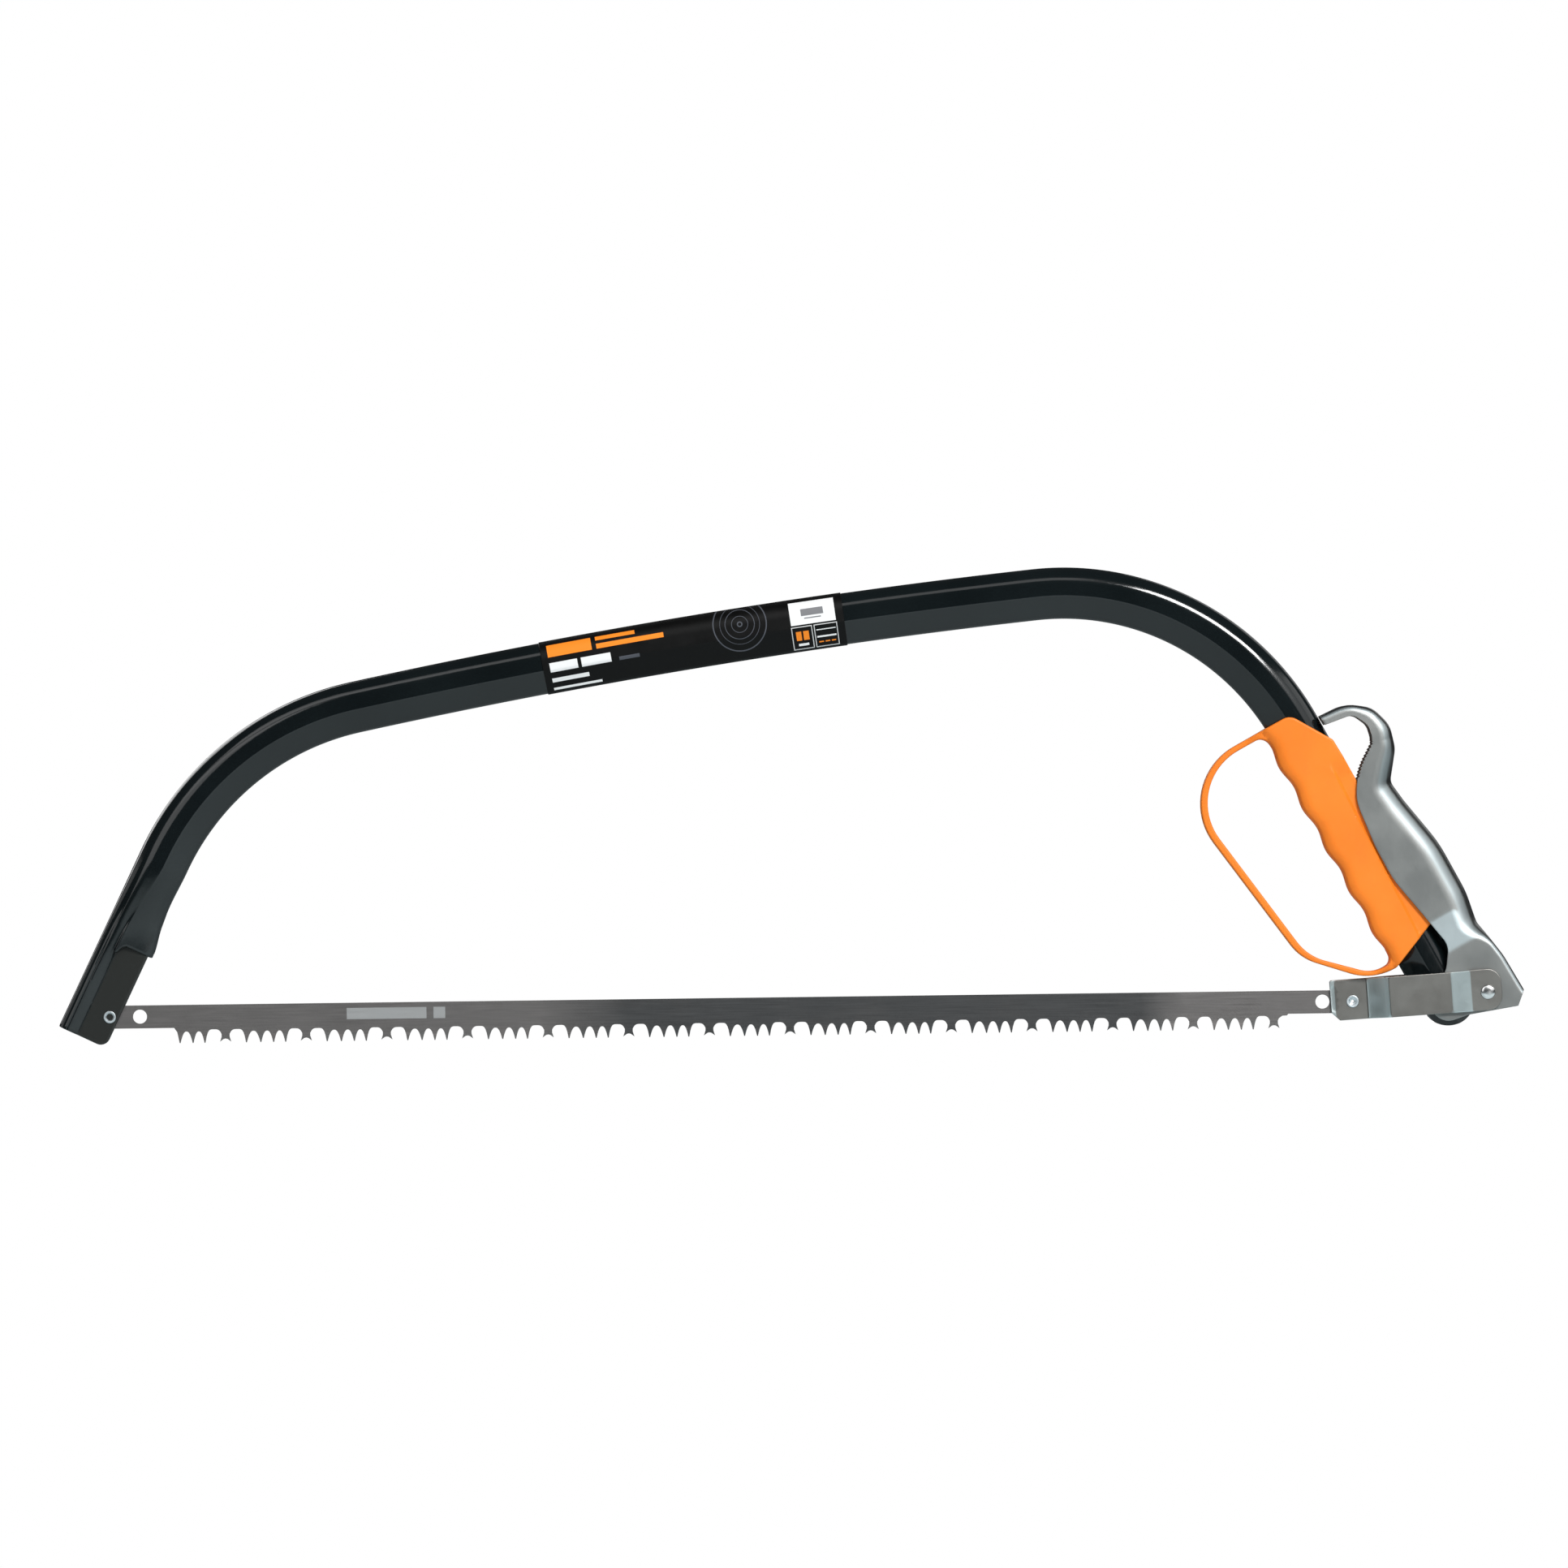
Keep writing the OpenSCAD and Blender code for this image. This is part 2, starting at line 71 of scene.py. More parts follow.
def plan(point):
    return np.array([point[0], point[2]]) / MM


def middle_of(node):
    low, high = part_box(node)
    return plan((low + high) / 2)


joints = {joint["name"]: plan(joint["pos_m"]) for joint in frame["joints"]}
pivot = joints["lever_open"]
link_pin = joints["link_swing"]
toe_pin = middle_of("toe_pin")
blade_pin = middle_of("blade_studs")

# The frame's origin is the middle of the grip, so the handle runs from the lever's pivot to it
heading = atan2(-pivot[1], -pivot[0])
toe_heading = radians(180 + 64.3)
QUARTER = pi / 2
handle = Place(pivot, heading - QUARTER)
link = Place(blade_pin, atan2(*(link_pin - blade_pin)[::-1]))
link_length = np.linalg.norm(link_pin - blade_pin)
flat = Place(toe_pin, 0)
# The toe's pin is this far in from the tube's centreline, and this far from its end
pin_inset, pin_from_end = 7.2, 12.7
toe_end = Place(toe_pin, toe_heading - QUARTER).at([pin_inset, pin_from_end])
toe = Place(toe_end, toe_heading - QUARTER)


def smooth(t):
    t = np.clip(t, 0.0, 1.0)
    return t * t * (3 - 2 * t)


def window(x, start, rise, end, fall):
    """1 between two places and 0 outside them, eased over a length at each end."""
    return smooth((x - start) / rise) * smooth((end - x) / fall)


def mix(a, b, t):
    return a + (b - a) * t


# ---- outlines ----

def cross(a, b):
    return a[0] * b[1] - a[1] * b[0]


def unit(v):
    return v / np.linalg.norm(v)


def rounded(corners, step=9):
    """A closed outline from corners (x, y, radius), with arcs of so many degrees a point."""
    points = []
    for i, (x, y, radius) in enumerate(corners):
        at = np.array([x, y], float)
        if radius == 0:
            points.append(at)
            continue
        p = unit(np.array(corners[i - 1][:2]) - at)
        q = unit(np.array(corners[(i + 1) % len(corners)][:2]) - at)
        half = acos(p @ q) / 2
        middle = at + unit(p + q) * radius / sin(half)
        first = at + p * radius / tan(half) - middle
        turn = -copysign(pi - 2 * half, cross(p, q))
        steps = max(2, ceil(abs(degrees(turn)) / step))
        for k in range(steps + 1):
            a = turn * k / steps
            points.append(middle + [first[0] * cos(a) - first[1] * sin(a),
                                    first[0] * sin(a) + first[1] * cos(a)])
    return np.array(points)


def circle(middle, radius, count=40):
    angles = np.linspace(0, 2 * pi, count + 1)[:-1]
    return middle + radius * np.stack([np.cos(angles), np.sin(angles)], 1)


def lengths(points):
    return np.concatenate([[0], np.cumsum(np.linalg.norm(np.diff(points, axis=0), axis=1))])


HAIR = 0.008  # four times the rise of a straight run at its middle


def dense(points, spacing, closed=True):
    """The outline with extra points, no two of them further apart than the spacing. Each straight
    run bows to its left by a hair, so that no three of its points make a sliver inside it."""
    ends = np.vstack([points, points[:1]]) if closed else points
    out = []
    for a, b in zip(ends[:-1], ends[1:]):
        steps = max(1, ceil(np.linalg.norm(b - a) / spacing))
        left = unit(np.array([a[1] - b[1], b[0] - a[0]])) * HAIR
        out += [mix(a, b, k / steps) + left * (k / steps) * (1 - k / steps) for k in range(steps)]
    if not closed:
        out.append(ends[-1])
    out = np.array(out)
    keep = np.linalg.norm(out - np.roll(out, 1, axis=0), axis=1) > 1e-4
    return out[keep] if closed else out


def area(points):
    x, y = points.T
    return 0.5 * np.sum(x * np.roll(y, -1) - np.roll(x, -1) * y)


def inset(points, distance):
    """A closed outline moved to its left, which is inward on one that runs anticlockwise."""
    before = points - np.roll(points, 1, axis=0)
    after = np.roll(points, -1, axis=0) - points
    side = []
    for v in (before, after):
        v = v / np.linalg.norm(v, axis=1)[:, None]
        side.append(np.stack([-v[:, 1], v[:, 0]], 1))
    total = side[0] + side[1]
    reach = np.maximum(1 + np.sum(side[0] * side[1], axis=1), 0.5)
    return points + total * (distance / reach)[:, None]


def inside(points, loops):
    """Which points lie inside an outline and outside its holes."""
    hit = np.zeros(len(points), bool)
    for loop in loops:
        a, b = loop, np.roll(loop, -1, axis=0)
        for p, q in zip(a, b):
            spans = (p[1] > points[:, 1]) != (q[1] > points[:, 1])
            if spans.any():
                at = p[0] + (points[:, 1] - p[1]) / (q[1] - p[1] + 1e-30) * (q[0] - p[0])
                hit ^= spans & (points[:, 0] < at)
    return hit


# ---- meshes ----

def stand(points, y):
    """Points in the plane of the saw, at a height y across it."""
    points = np.asarray(points, float)
    return np.stack([points[:, 0], np.broadcast_to(y, len(points)), points[:, 1]], 1)


def soften(mesh, sharp):
    """Smooth shading, with edges sharper than that many degrees left sharp."""
    mesh.shade_smooth()
    mesh.set_sharp_from_angle(angle=radians(sharp))


def give(mesh, key, numbers):
    """An attribute with a number or a vector for every point."""
    numbers = np.array(numbers, np.float32)
    kind, field = ("FLOAT", "value") if numbers.ndim == 1 else ("FLOAT_VECTOR", "vector")
    mesh.attributes.new(key, kind, "POINT").data.foreach_set(field, numbers.ravel())


def show(name, data):
    """A new object in the scene."""
    shown = bpy.data.objects.new(name, data)
    scene.collection.objects.link(shown)
    return shown


def make(name, verts, faces, finish, sharp=35, **values):
    """A piece from points in millimetres. Each extra value becomes an attribute."""
    mesh = bpy.data.meshes.new(name)
    mesh.from_pydata([tuple(v) for v in np.asarray(verts, float) * MM], [], faces)
    for key, numbers in values.items():
        give(mesh, key, numbers)
    work = bmesh.new()
    work.from_mesh(mesh)
    bmesh.ops.remove_doubles(work, verts=work.verts, dist=1e-7)
    bmesh.ops.recalc_face_normals(work, faces=work.faces)
    work.to_mesh(mesh)
    work.free()
    mesh.materials.append(finish)
    soften(mesh, sharp)
    return show(name, mesh)


def join(piece, body, node):
    """The piece rides on a body and stands for a CAD node, which it hides."""
    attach(piece, body)
    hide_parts(node)


def applied(piece, sharp=35):
    """Turns the piece's modifiers into its mesh."""
    bpy.context.view_layer.update()
    shown = piece.evaluated_get(bpy.context.evaluated_depsgraph_get())
    mesh = bpy.data.meshes.new_from_object(shown)
    piece.modifiers.clear()
    piece.data = mesh
    soften(mesh, sharp)


def cut(piece, verts, faces):
    """Takes a closed cutter away from the piece."""
    tool = make("cutter", verts, faces, None)
    step = piece.modifiers.new("cut", "BOOLEAN")
    step.operation = "DIFFERENCE"
    step.solver = "EXACT"
    step.object = tool
    applied(piece)
    bpy.data.objects.remove(tool)


def loft(rings, closed=True, loop=False):
    """Quads between rings of equal count, each a list of points."""
    count = len(rings[0])
    faces = []
    for i in range(len(rings) if loop else len(rings) - 1):
        low, high = i * count, (i + 1) % len(rings) * count
        for j in range(count if closed else count - 1):
            k = (j + 1) % count
            faces.append((low + j, low + k, high + k, high + j))
    return np.concatenate(rings), faces


def lid(count, start, flip=False):
    """Quads that close a ring whose points mirror each other across the plane of the saw."""
    faces = []
    for j in range(count // 2):
        corners = (j, j + 1, (count - j - 1) % count, (count - j) % count)
        face = tuple(start + k for k in dict.fromkeys(corners))
        faces.append(face[::-1] if flip else face)
    return faces


def turned(name, middle, profiles, finish):
    """Round pieces about an axis across the saw, each from a profile of (radius, y)."""
    verts, faces = [], []
    for profile in profiles:
        rings = [stand(circle(middle, r, 48), y) for r, y in profile]
        points, quads = loft(rings, loop=profile[0][0] > 0)
        faces += [tuple(i + len(verts) for i in quad) for quad in quads]
        verts += list(points)
    return make(name, verts, faces, finish)


def plate(name, outline, holes, low, high, finish, edge, grid, spacing, steps=3, place=flat,
          crease=()):
    """A plate between two faces y = low(points) and y = high(points), its edges rounded in steps.
    The outline and its holes are in the place's frame; low and high take points of that frame.
    Points are a spacing apart along the edges and a grid apart on the faces, and those of a
    crease keep the mesh fine where a face steps."""
    loops = [outline if area(outline) > 0 else outline[::-1]]
    loops += [hole if area(hole) < 0 else hole[::-1] for hole in holes]
    loops = [dense(loop, spacing) for loop in loops]
    counts = [len(loop) for loop in loops]
    starts = np.concatenate([[0], np.cumsum(counts)]).astype(int)
    turns = [QUARTER * k / steps for k in range(steps + 1)]
    rims = [(edge * (1 - cos(a)), edge * (1 - sin(a))) for a in turns]
    rims.append((edge + 0.12, 0))
    rings = [np.concatenate([inset(loop, move) for loop in loops]) for move, _ in rims]
    verts, faces = [], []
    for side, face in ((1, high), (-1, low)):
        for ring, (_, drop) in zip(rings, rims):
            verts.append(stand(place.at(ring), face(ring) - side * drop))
    total, depth = len(rings[0]), len(rings)
    edges = [(start + j, start + (j + 1) % count)
             for start, count in zip(starts, counts) for j in range(count)]

    def wall(ring_a, ring_b):
        a, b = ring_a * total, ring_b * total
        faces.extend((a + i, a + j, b + j, b + i) for i, j in edges)

    for k in range(depth - 1):
        wall(k, k + 1)
        wall(depth + k, depth + k + 1)
    wall(0, depth)

    # The faces themselves: a grid of points inside the rims, each row half a step from the next
    rim = rings[-1]
    rim_loops = [rim[start:start + count] for start, count in zip(starts, counts)]
    xs, ys = (np.arange(rim[:, k].min() + grid / 2, rim[:, k].max(), grid) for k in (0, 1))
    cloud = np.array([[x + (grid / 2 if i % 2 else 0), y] for i, y in enumerate(ys) for x in xs])
    cloud = cloud[inside(cloud, rim_loops)]

    def clear_of(others, distance):
        return np.array([np.min(np.sum((others - p) ** 2, axis=1)) for p in cloud]) > distance ** 2

    if len(crease):
        cloud = np.concatenate([cloud[clear_of(crease, 0.4 * grid)], crease])
        cloud = cloud[inside(cloud, rim_loops)]
    cloud = cloud[clear_of(rim, 0.45 * min(grid, spacing))]
    points = [Vector(p) for p in np.concatenate([rim, cloud])]
    out, _, triangles, origins, _, _ = delaunay_2d_cdt(points, edges, [], 0, 1e-7)
    out = np.array([tuple(p) for p in out])
    triangles = np.array([t for t in triangles if len(t) == 3])
    # The triangulation rounds its points to single precision, and so must its outline
    loops = [loop.astype(np.float32).astype(float) for loop in rim_loops]
    triangles = triangles[inside(out[triangles].mean(1), loops)]
    first = {i: origin[0] for i, origin in enumerate(origins) if origin}
    base = 2 * depth * total
    extra = {}
    for t in triangles.flat:
        if first.get(t, total) >= total and t not in extra:
            extra[t] = len(extra)
    spare = np.array([out[t] for t in extra])
    verts += [stand(place.at(spare), face(spare)) for face in (high, low)]
    for side in (0, 1):
        ring = ((side + 1) * depth - 1) * total
        ids = {t: base + side * len(extra) + k for t, k in extra.items()}
        faces += [tuple(ids[i] if i in ids else ring + first[i] for i in t) for t in triangles]
    return make(name, np.concatenate(verts), faces, finish)


# ---- finishes ----

class Finish:
    """One procedural material, with the nodes that most of them share."""

    def __init__(self, name, color, roughness, metallic=0.0, specular=0.5):
        self.material = bpy.data.materials.new(name)
        self.material.use_nodes = True
        self.tree = self.material.node_tree
        self.shader = self.tree.nodes["Principled BSDF"]
        self.place = self.add("TexCoord").outputs["Object"]
        self.paint((*color, 1), roughness)
        self.feed(**{"Metallic": metallic, "Specular IOR Level": specular})

    def join(self, socket, value):
        if isinstance(value, bpy.types.NodeSocket):
            self.tree.links.new(value, socket)
        else:
            socket.default_value = value

    def feed(self, **sockets):
        """Numbers, colours or links into the shader."""
        for key, value in sockets.items():
            self.join(self.shader.inputs[key], value)

    def paint(self, color, roughness):
        self.feed(**{"Base Color": color, "Roughness": roughness})

    def add(self, kind, inputs=(), **values):
        """A node with its inputs, by name or index, and its settings."""
        node = self.tree.nodes.new("ShaderNode" + kind)
        for key, value in values.items():
            setattr(node, key, value)
        for key, value in dict(inputs).items():
            self.join(node.inputs[key], value)
        return node

    def attribute(self, name, output="Fac"):
        return self.add("Attribute", attribute_name=name).outputs[output]

    def math(self, operation, a, b=0.0):
        return self.add("Math", {0: a, 1: b}, operation=operation).outputs[0]

    def noise(self, size, detail=3.0, stretch=(1, 1, 1), roughness=0.5, shift=0.0):
        """Noise with features about so many millimetres across, longer where it is stretched."""
        scale = [1 / (size * MM * s) for s in stretch]
        spread = self.add("Mapping", {"Vector": self.place, "Location": [shift] * 3,
                                      "Scale": scale})
        return self.add("TexNoise", {"Vector": spread.outputs[0], "Scale": 1, "Detail": detail,
                                     "Roughness": roughness}).outputs["Fac"]

    def between(self, value, low, high, start=0.0, end=1.0):
        """The value's range from start to end, carried over to low to high."""
        return self.add("MapRange", {"Value": value, "From Min": start, "From Max": end,
                                     "To Min": low, "To Max": high}).outputs["Result"]

    def blend(self, share, a, b):
        a, b = ((*color, 1) if isinstance(color, tuple) else color for color in (a, b))
        return self.add("Mix", {"Factor": share, 6: a, 7: b}, data_type="RGBA").outputs[2]

    def vary(self, value, start, end, a, b, most=1.0):
        """Colour a where the value is under its start, and as much as most of b over its end."""
        return self.blend(self.between(value, 0, most, start, end), a, b)

    def bump(self, *layers):
        """Layers of (height, depth in millimetres), one over the other."""
        under = {}
        for height, depth in layers:
            node = self.add("Bump", {"Distance": depth * MM, "Height": height, **under})
            under = {"Normal": node.outputs["Normal"]}
        self.feed(**under)


def bow_enamel():
    """Black enamel with slight orange peel and dust. Where "thin" is 1 it is thin and dull."""
    f = Finish("bow_enamel", (0.004, 0.0065, 0.0075), 0.16, specular=0.55)
    cloud = f.noise(38, detail=4)
    speck = f.noise(1.1, detail=2, shift=3)
    thin = f.attribute("thin")
    coat = f.vary(cloud, 0.35, 0.7, (0.0034, 0.0056, 0.0064), (0.0052, 0.0082, 0.0092))
    gloss = f.between(cloud, 0.09, 0.14, 0.3, 0.7)
    gloss = f.math("ADD", gloss, f.between(speck, 0, 0.03, 0.62, 0.75))
    f.paint(f.blend(thin, coat, (0.0085, 0.0095, 0.008)), f.between(thin, gloss, 0.4))
    f.bump((f.noise(5.5, detail=1), 0.04), (f.noise(0.9, detail=2), 0.005))
    return f.material


def worked_metal(name, dull, pale, bright, roughness, grain_along):
    """Cloudy plated sheet. At its bends, where its painted-highlight attribute is 1, its colour is
    painted bright as a highlight, and where its "polish" value is 1, on its rolled back, it is
    smooth."""
    f = Finish(name, dull, roughness, 1.0)
    worked, polish = f.attribute("worked"), f.attribute("polish")
    cloud = f.noise(14, detail=4)
    tint = f.noise(30, detail=2, shift=7)
    grain = f.noise(0.4, detail=3, stretch=grain_along)
    mottle = f.math("ADD", cloud, f.math("MULTIPLY", tint, 0.6))
    rough = f.math("ADD", f.between(cloud, roughness - 0.03, roughness + 0.03, 0.3, 0.7),
                   f.between(grain, -0.02, 0.02, 0.3, 0.7))
    # Painted highlight: the bright colour is blended in where the painted-highlight attribute is 1
    f.paint(f.blend(worked, f.vary(mottle, 0.62, 1.0, dull, pale), bright),
            f.between(polish, rough, f.math("MULTIPLY", rough, 0.62)))
    f.bump((grain, 0.003), (f.noise(2.6, detail=2), 0.010))
    return f.material


def zinc_plate():
    return worked_metal("zinc_plate", (0.25, 0.257, 0.252), (0.285, 0.292, 0.285),
                        (0.43, 0.49, 0.505), 0.47, grain_along=(1, 1, 9))


def link_steel():
    return worked_metal("link_steel", (0.225, 0.215, 0.20), (0.26, 0.255, 0.24),
                        (0.56, 0.635, 0.64), 0.42, grain_along=(7, 1, 1))


def plated_steel(name, color, roughness):
    f = Finish(name, color, roughness, 1.0)
    cloud = f.noise(2.5, detail=4)
    darker = tuple(0.72 * c for c in color)
    f.paint(f.vary(cloud, 0.35, 0.75, color, darker),
            f.between(cloud, roughness * 0.8, roughness * 1.3, 0.3, 0.7))
    f.bump((f.noise(0.4, detail=2), 0.006))
    return f.material


def grip_plastic():
    """Satin orange plastic with a fine moulded grain."""
    f = Finish("grip_plastic", (0.86, 0.21, 0.014), 0.5, specular=0.35)
    f.feed(**{"Subsurface Weight": 0.06, "Subsurface Radius": (1.0, 0.35, 0.1),
              "Subsurface Scale": 1.5 * MM})
    cloud = f.noise(30, detail=3)
    grime = f.noise(4, detail=5, roughness=0.7, shift=5)
    clean = f.vary(cloud, 0.35, 0.65, (0.89, 0.218, 0.015), (0.82, 0.192, 0.011))
    f.paint(f.vary(grime, 0.58, 0.8, clean, (0.70, 0.15, 0.012), most=0.35),
            f.between(grime, 0.42, 0.56, 0.3, 0.7))
    f.bump((f.noise(0.55, detail=2), 0.03), (f.noise(14, detail=1), 0.06))
    return f.material


def plug_plastic():
    f = Finish("plug_plastic", (0.014, 0.014, 0.014), 0.45)
    f.feed(Roughness=f.between(f.noise(3, detail=3), 0.38, 0.55, 0.3, 0.7))
    f.bump((f.noise(0.6, detail=2), 0.02))
    return f.material


# The plain etched mark: where its bars run, from the toe's pin, and its middle and half its height
MARK_BARS = ((101, 135), (138, 143))
mark_middle, mark_half = 0.2, 2.4


def blade_steel():
    """Hardened and lacquered strip: rolling marks along it, darker between its two ends."""
    f = Finish("blade_steel", (0.17, 0.17, 0.175), 0.42, 0.85)
    spot = f.add("SeparateXYZ", {0: f.place})
    x, height = spot.outputs["X"], spot.outputs["Z"]
    start, length = toe_pin[0] * MM, (blade_pin[0] - toe_pin[0]) * MM

    def share(part):
        """So much of the way from the toe's pin to the other."""
        return start + part * length

    drift = f.math("MULTIPLY", f.math("SUBTRACT", f.noise(30, detail=2), 0.5), 0.02)
    uneven = f.math("ADD", x, drift)
    dark = f.math("MULTIPLY", f.between(uneven, 0, 1, share(0.35), share(0.42)),
                  f.between(uneven, 1, 0, share(0.83), share(0.86)))
    rolled = f.noise(0.5, detail=4, stretch=(40, 1, 1), roughness=0.6)
    stain = f.noise(14, detail=4, roughness=0.6, stretch=(2, 1, 1))
    pale = f.vary(rolled, 0.3, 0.7, (0.19, 0.178, 0.174), (0.222, 0.208, 0.203))
    deep = f.vary(rolled, 0.3, 0.7, (0.078, 0.078, 0.08), (0.098, 0.098, 0.10))
    worn = f.vary(stain, 0.5, 0.75, f.blend(dark, pale, deep), (0.12, 0.11, 0.105), most=0.25)

    def within(value, low, high, soft=0.1 * MM):
        away = f.math("ABSOLUTE", f.math("SUBTRACT", value, (low + high) / 2))
        return f.between(away, 1, 0, (high - low) / 2 - soft, (high - low) / 2 + soft)

    middle = (toe_pin[1] + mark_middle) * MM
    tall = within(height, middle - mark_half * MM, middle + mark_half * MM)
    bars = [within(x, start + low * MM, start + high * MM) for low, high in MARK_BARS]
    mark = f.math("MULTIPLY", tall, f.math("MAXIMUM", *bars))
    f.paint(f.blend(mark, worn, (0.5, 0.5, 0.5)), f.between(rolled, 0.4, 0.48, 0.3, 0.7))
    f.bump((rolled, 0.004), (f.noise(1.5, detail=3), 0.004))
    return f.material


# ---- printed film ----

sleeve_start, sleeve_length = 82.0, 130.0  # along the long bend
# Bars of (from, to, from, to, colour), along from the toe's end and down from the outer edge
ORANGE, WHITE, GREY = (0.90, 0.25, 0.02), (0.80, 0.80, 0.80), (0.075, 0.08, 0.095)
DARK, FILM = (0.2, 0.2, 0.21), (0.002, 0.002, 0.002)
PRINT_BARS = [
    (3, 22, 1.8, 6.9, ORANGE), (24, 53, 4.8, 6.9, ORANGE), (24, 41, 1.8, 3.4, ORANGE),
    (3, 15, 9.4, 13.4, WHITE), (16.6, 29.4, 9.4, 13.4, WHITE), (32.8, 41.6, 11.9, 13.4, GREY),
    (3, 19, 16, 17.7, WHITE), (3, 24, 20, 21, WHITE),
    (107.2, 126.5, 1.3, 11, WHITE), (112, 121.6, 4.4, 7.4, DARK),
    (113.2, 120.4, 8.2, 8.7, DARK),
    (108.8, 111.1, 13.8, 17.6, ORANGE), (111.9, 114.3, 13.8, 17.6, ORANGE),
    (109.4, 113.8, 18.9, 19.9, WHITE),
    (117.6, 125.9, 13.9, 14.3, WHITE), (117.6, 125.9, 16.7, 17.4, WHITE),
    (118.2, 120.2, 19, 19.5, ORANGE), (120.9, 122.9, 19, 19.5, ORANGE),
    (123.6, 125.4, 19, 19.5, ORANGE),
]
PRINT_FRAMES = [(107.2, 115.8, 11.9, 21.2), (116.9, 126.6, 11.9, 21.2)]
PRINT_RINGS = [(11.6, 0.5), (8.6, 0.22), (6.4, 0.3), (3.6, 0.25), (1.2, 0.5)]
RING_MIDDLE = (85.7, 6.8)
FRAME_LINE = 0.18


def label_film():
    """Black film. Its print comes from the place along and down the sleeve, in millimetres."""
    f = Finish("label_film", FILM, 0.5, specular=0.16)
    spot = f.add("SeparateXYZ", {0: f.attribute("print", "Vector")})
    along, down = spot.outputs["X"], spot.outputs["Y"]

    def reach(value, low, high):
        """How far a value is outside the middle of a range, less half the range."""
        away = f.math("ABSOLUTE", f.math("SUBTRACT", value, (low + high) / 2))
        return f.math("SUBTRACT", away, (high - low) / 2)

    def beyond(bar):
        return f.math("MAXIMUM", reach(along, *bar[:2]), reach(down, *bar[2:4]))

    def shown(distance):
        return f.between(distance, 1, 0, -0.05, 0.05)

    color = FILM
    for bar in PRINT_BARS:
        color = f.blend(shown(beyond(bar)), color, bar[4])
    for box in PRINT_FRAMES:
        line = f.math("SUBTRACT", f.math("ABSOLUTE", beyond(box)), FRAME_LINE)
        color = f.blend(shown(line), color, (0.6, 0.6, 0.6))
    away = [f.math("POWER", f.math("SUBTRACT", value, at), 2.0)
            for value, at in zip((along, down), RING_MIDDLE)]
    radius = f.math("SQRT", f.math("ADD", *away))
    for size, width in PRINT_RINGS:
        color = f.blend(shown(reach(radius, size - width, size)), color, GREY)
    scuff = f.noise(7, detail=4, roughness=0.6)
    f.paint(color, f.between(scuff, 0.42, 0.58, 0.35, 0.75))
    f.bump((f.noise(9, detail=1), 0.05), (f.noise(0.8, detail=2), 0.004))
    return f.material


# ---- bow ----

# Half the tube's depth, and its radii on the outer side, at the shoulders and on the inner side
half_depth, round_r, shoulder_r, inner_r = 11.0, 7.5, 1.6, 3.3
shoulder_x = -1.3
tube_wall = 1.2
rear_r, front_r = 112.7, 117.7
handle_length = 133.0
rear_turn, long_turn = radians(66.9), radians(6.08)
front_turn = toe_heading - heading - rear_turn - long_turn
end_r = half_depth + 0.3  # the tube's lower end is cut round

# Distances up from the toe's end: the pressed panel, the chin above it, and the tube's full section
press_length, chin_top, chin_reach = 43.0, 46.0, 82.0
fold_start, fold_length = 20.0, 46.0  # where the folds beside the bead fade into the tube
bead_x, bead_r, bead_bore = 6.4, 4.5, 3.2
toe_corner, toe_half = 4.0, 2.0
tuck_in, dip_down = 1.5, 4.0  # how far the chin draws in, and its edge dips
slot_half, slot_back, slot_front = 0.7, -14.0, 4.5


def way(angle):
    return np.array([cos(angle), sin(angle)])


def step_across(size, turn, start):
    """From one end to the other of a straight stretch, or of a bend of that radius."""
    if turn == 0:
        return size * way(start)
    return 2 * size * sin(turn / 2) * way(start + turn / 2)


def bow_stretches():
    """(Length or radius, turn) of each stretch of the bow, from the lever's pivot to the toe's
    end. The long bend and the straight toe take up the room that the others leave."""
    known = [(handle_length, 0), (rear_r, rear_turn)]
    start, at = heading, pivot
    for size, turn in known:
        at = at + step_across(size, turn, start)
        start += turn
    left = toe_end - at - step_across(front_r, front_turn, start + long_turn)
    long_way, toe_way = way(start + long_turn / 2), way(toe_heading)
    chord = cross(left, toe_way) / cross(long_way, toe_way)
    toe_length = cross(long_way, left) / cross(long_way, toe_way)
    long_r = chord / (2 * sin(long_turn / 2))
    return known + [(long_r, long_turn), (front_r, front_turn), (toe_length, 0)]


stretches = bow_stretches()
stretch_lengths = [size * turn if turn else size for size, turn in stretches]
bow_length = sum(stretch_lengths)
long_start = sum(stretch_lengths[:2])


def bow_at(distance):
    """A frame on the tube's centreline, its first axis outward, so far along from the pivot."""
    at, start = pivot, heading
    for (size, turn), length in zip(stretches, stretch_lengths):
        share = distance / length
        if share < 1 or (size, turn) == stretches[-1]:
            part = (size, turn * share) if turn else (size * share, 0)
            return Place(at + step_across(*part, start), start + turn * share - QUARTER)
        at = at + step_across(size, turn, start)
        start += turn
        distance -= length


def mirrored(half):
    """A closed section from its upper half, which runs from the outer side to the inner."""
    return np.concatenate([half, half[-2:0:-1] * [1, -1]])


def toe_section(half):
    """The bead and a half section after it, with a point halfway between each two."""
    points = np.array(BEAD + half)
    out = np.empty((2 * len(points) - 1, 2))
    out[0::2], out[1::2] = points, (points[1:] + points[:-1]) / 2
    return mirrored(out)


def ring_at(place, section, along=0.0):
    """A section across the tube, at a place on its centreline or so far along from there."""
    spots = np.stack([section[:, 0], np.broadcast_to(along, len(section))], 1)
    return stand(place.at(spots), section[:, 1])


def toe_prism(outline, low, high):
    """A closed cutter along the toe, from one distance up from its end to another."""
    verts, faces = loft([ring_at(toe, np.array(outline), -t) for t in (low, high)])
    count = len(outline)
    return verts, faces + [tuple(range(count))[::-1], tuple(range(count, 2 * count))]


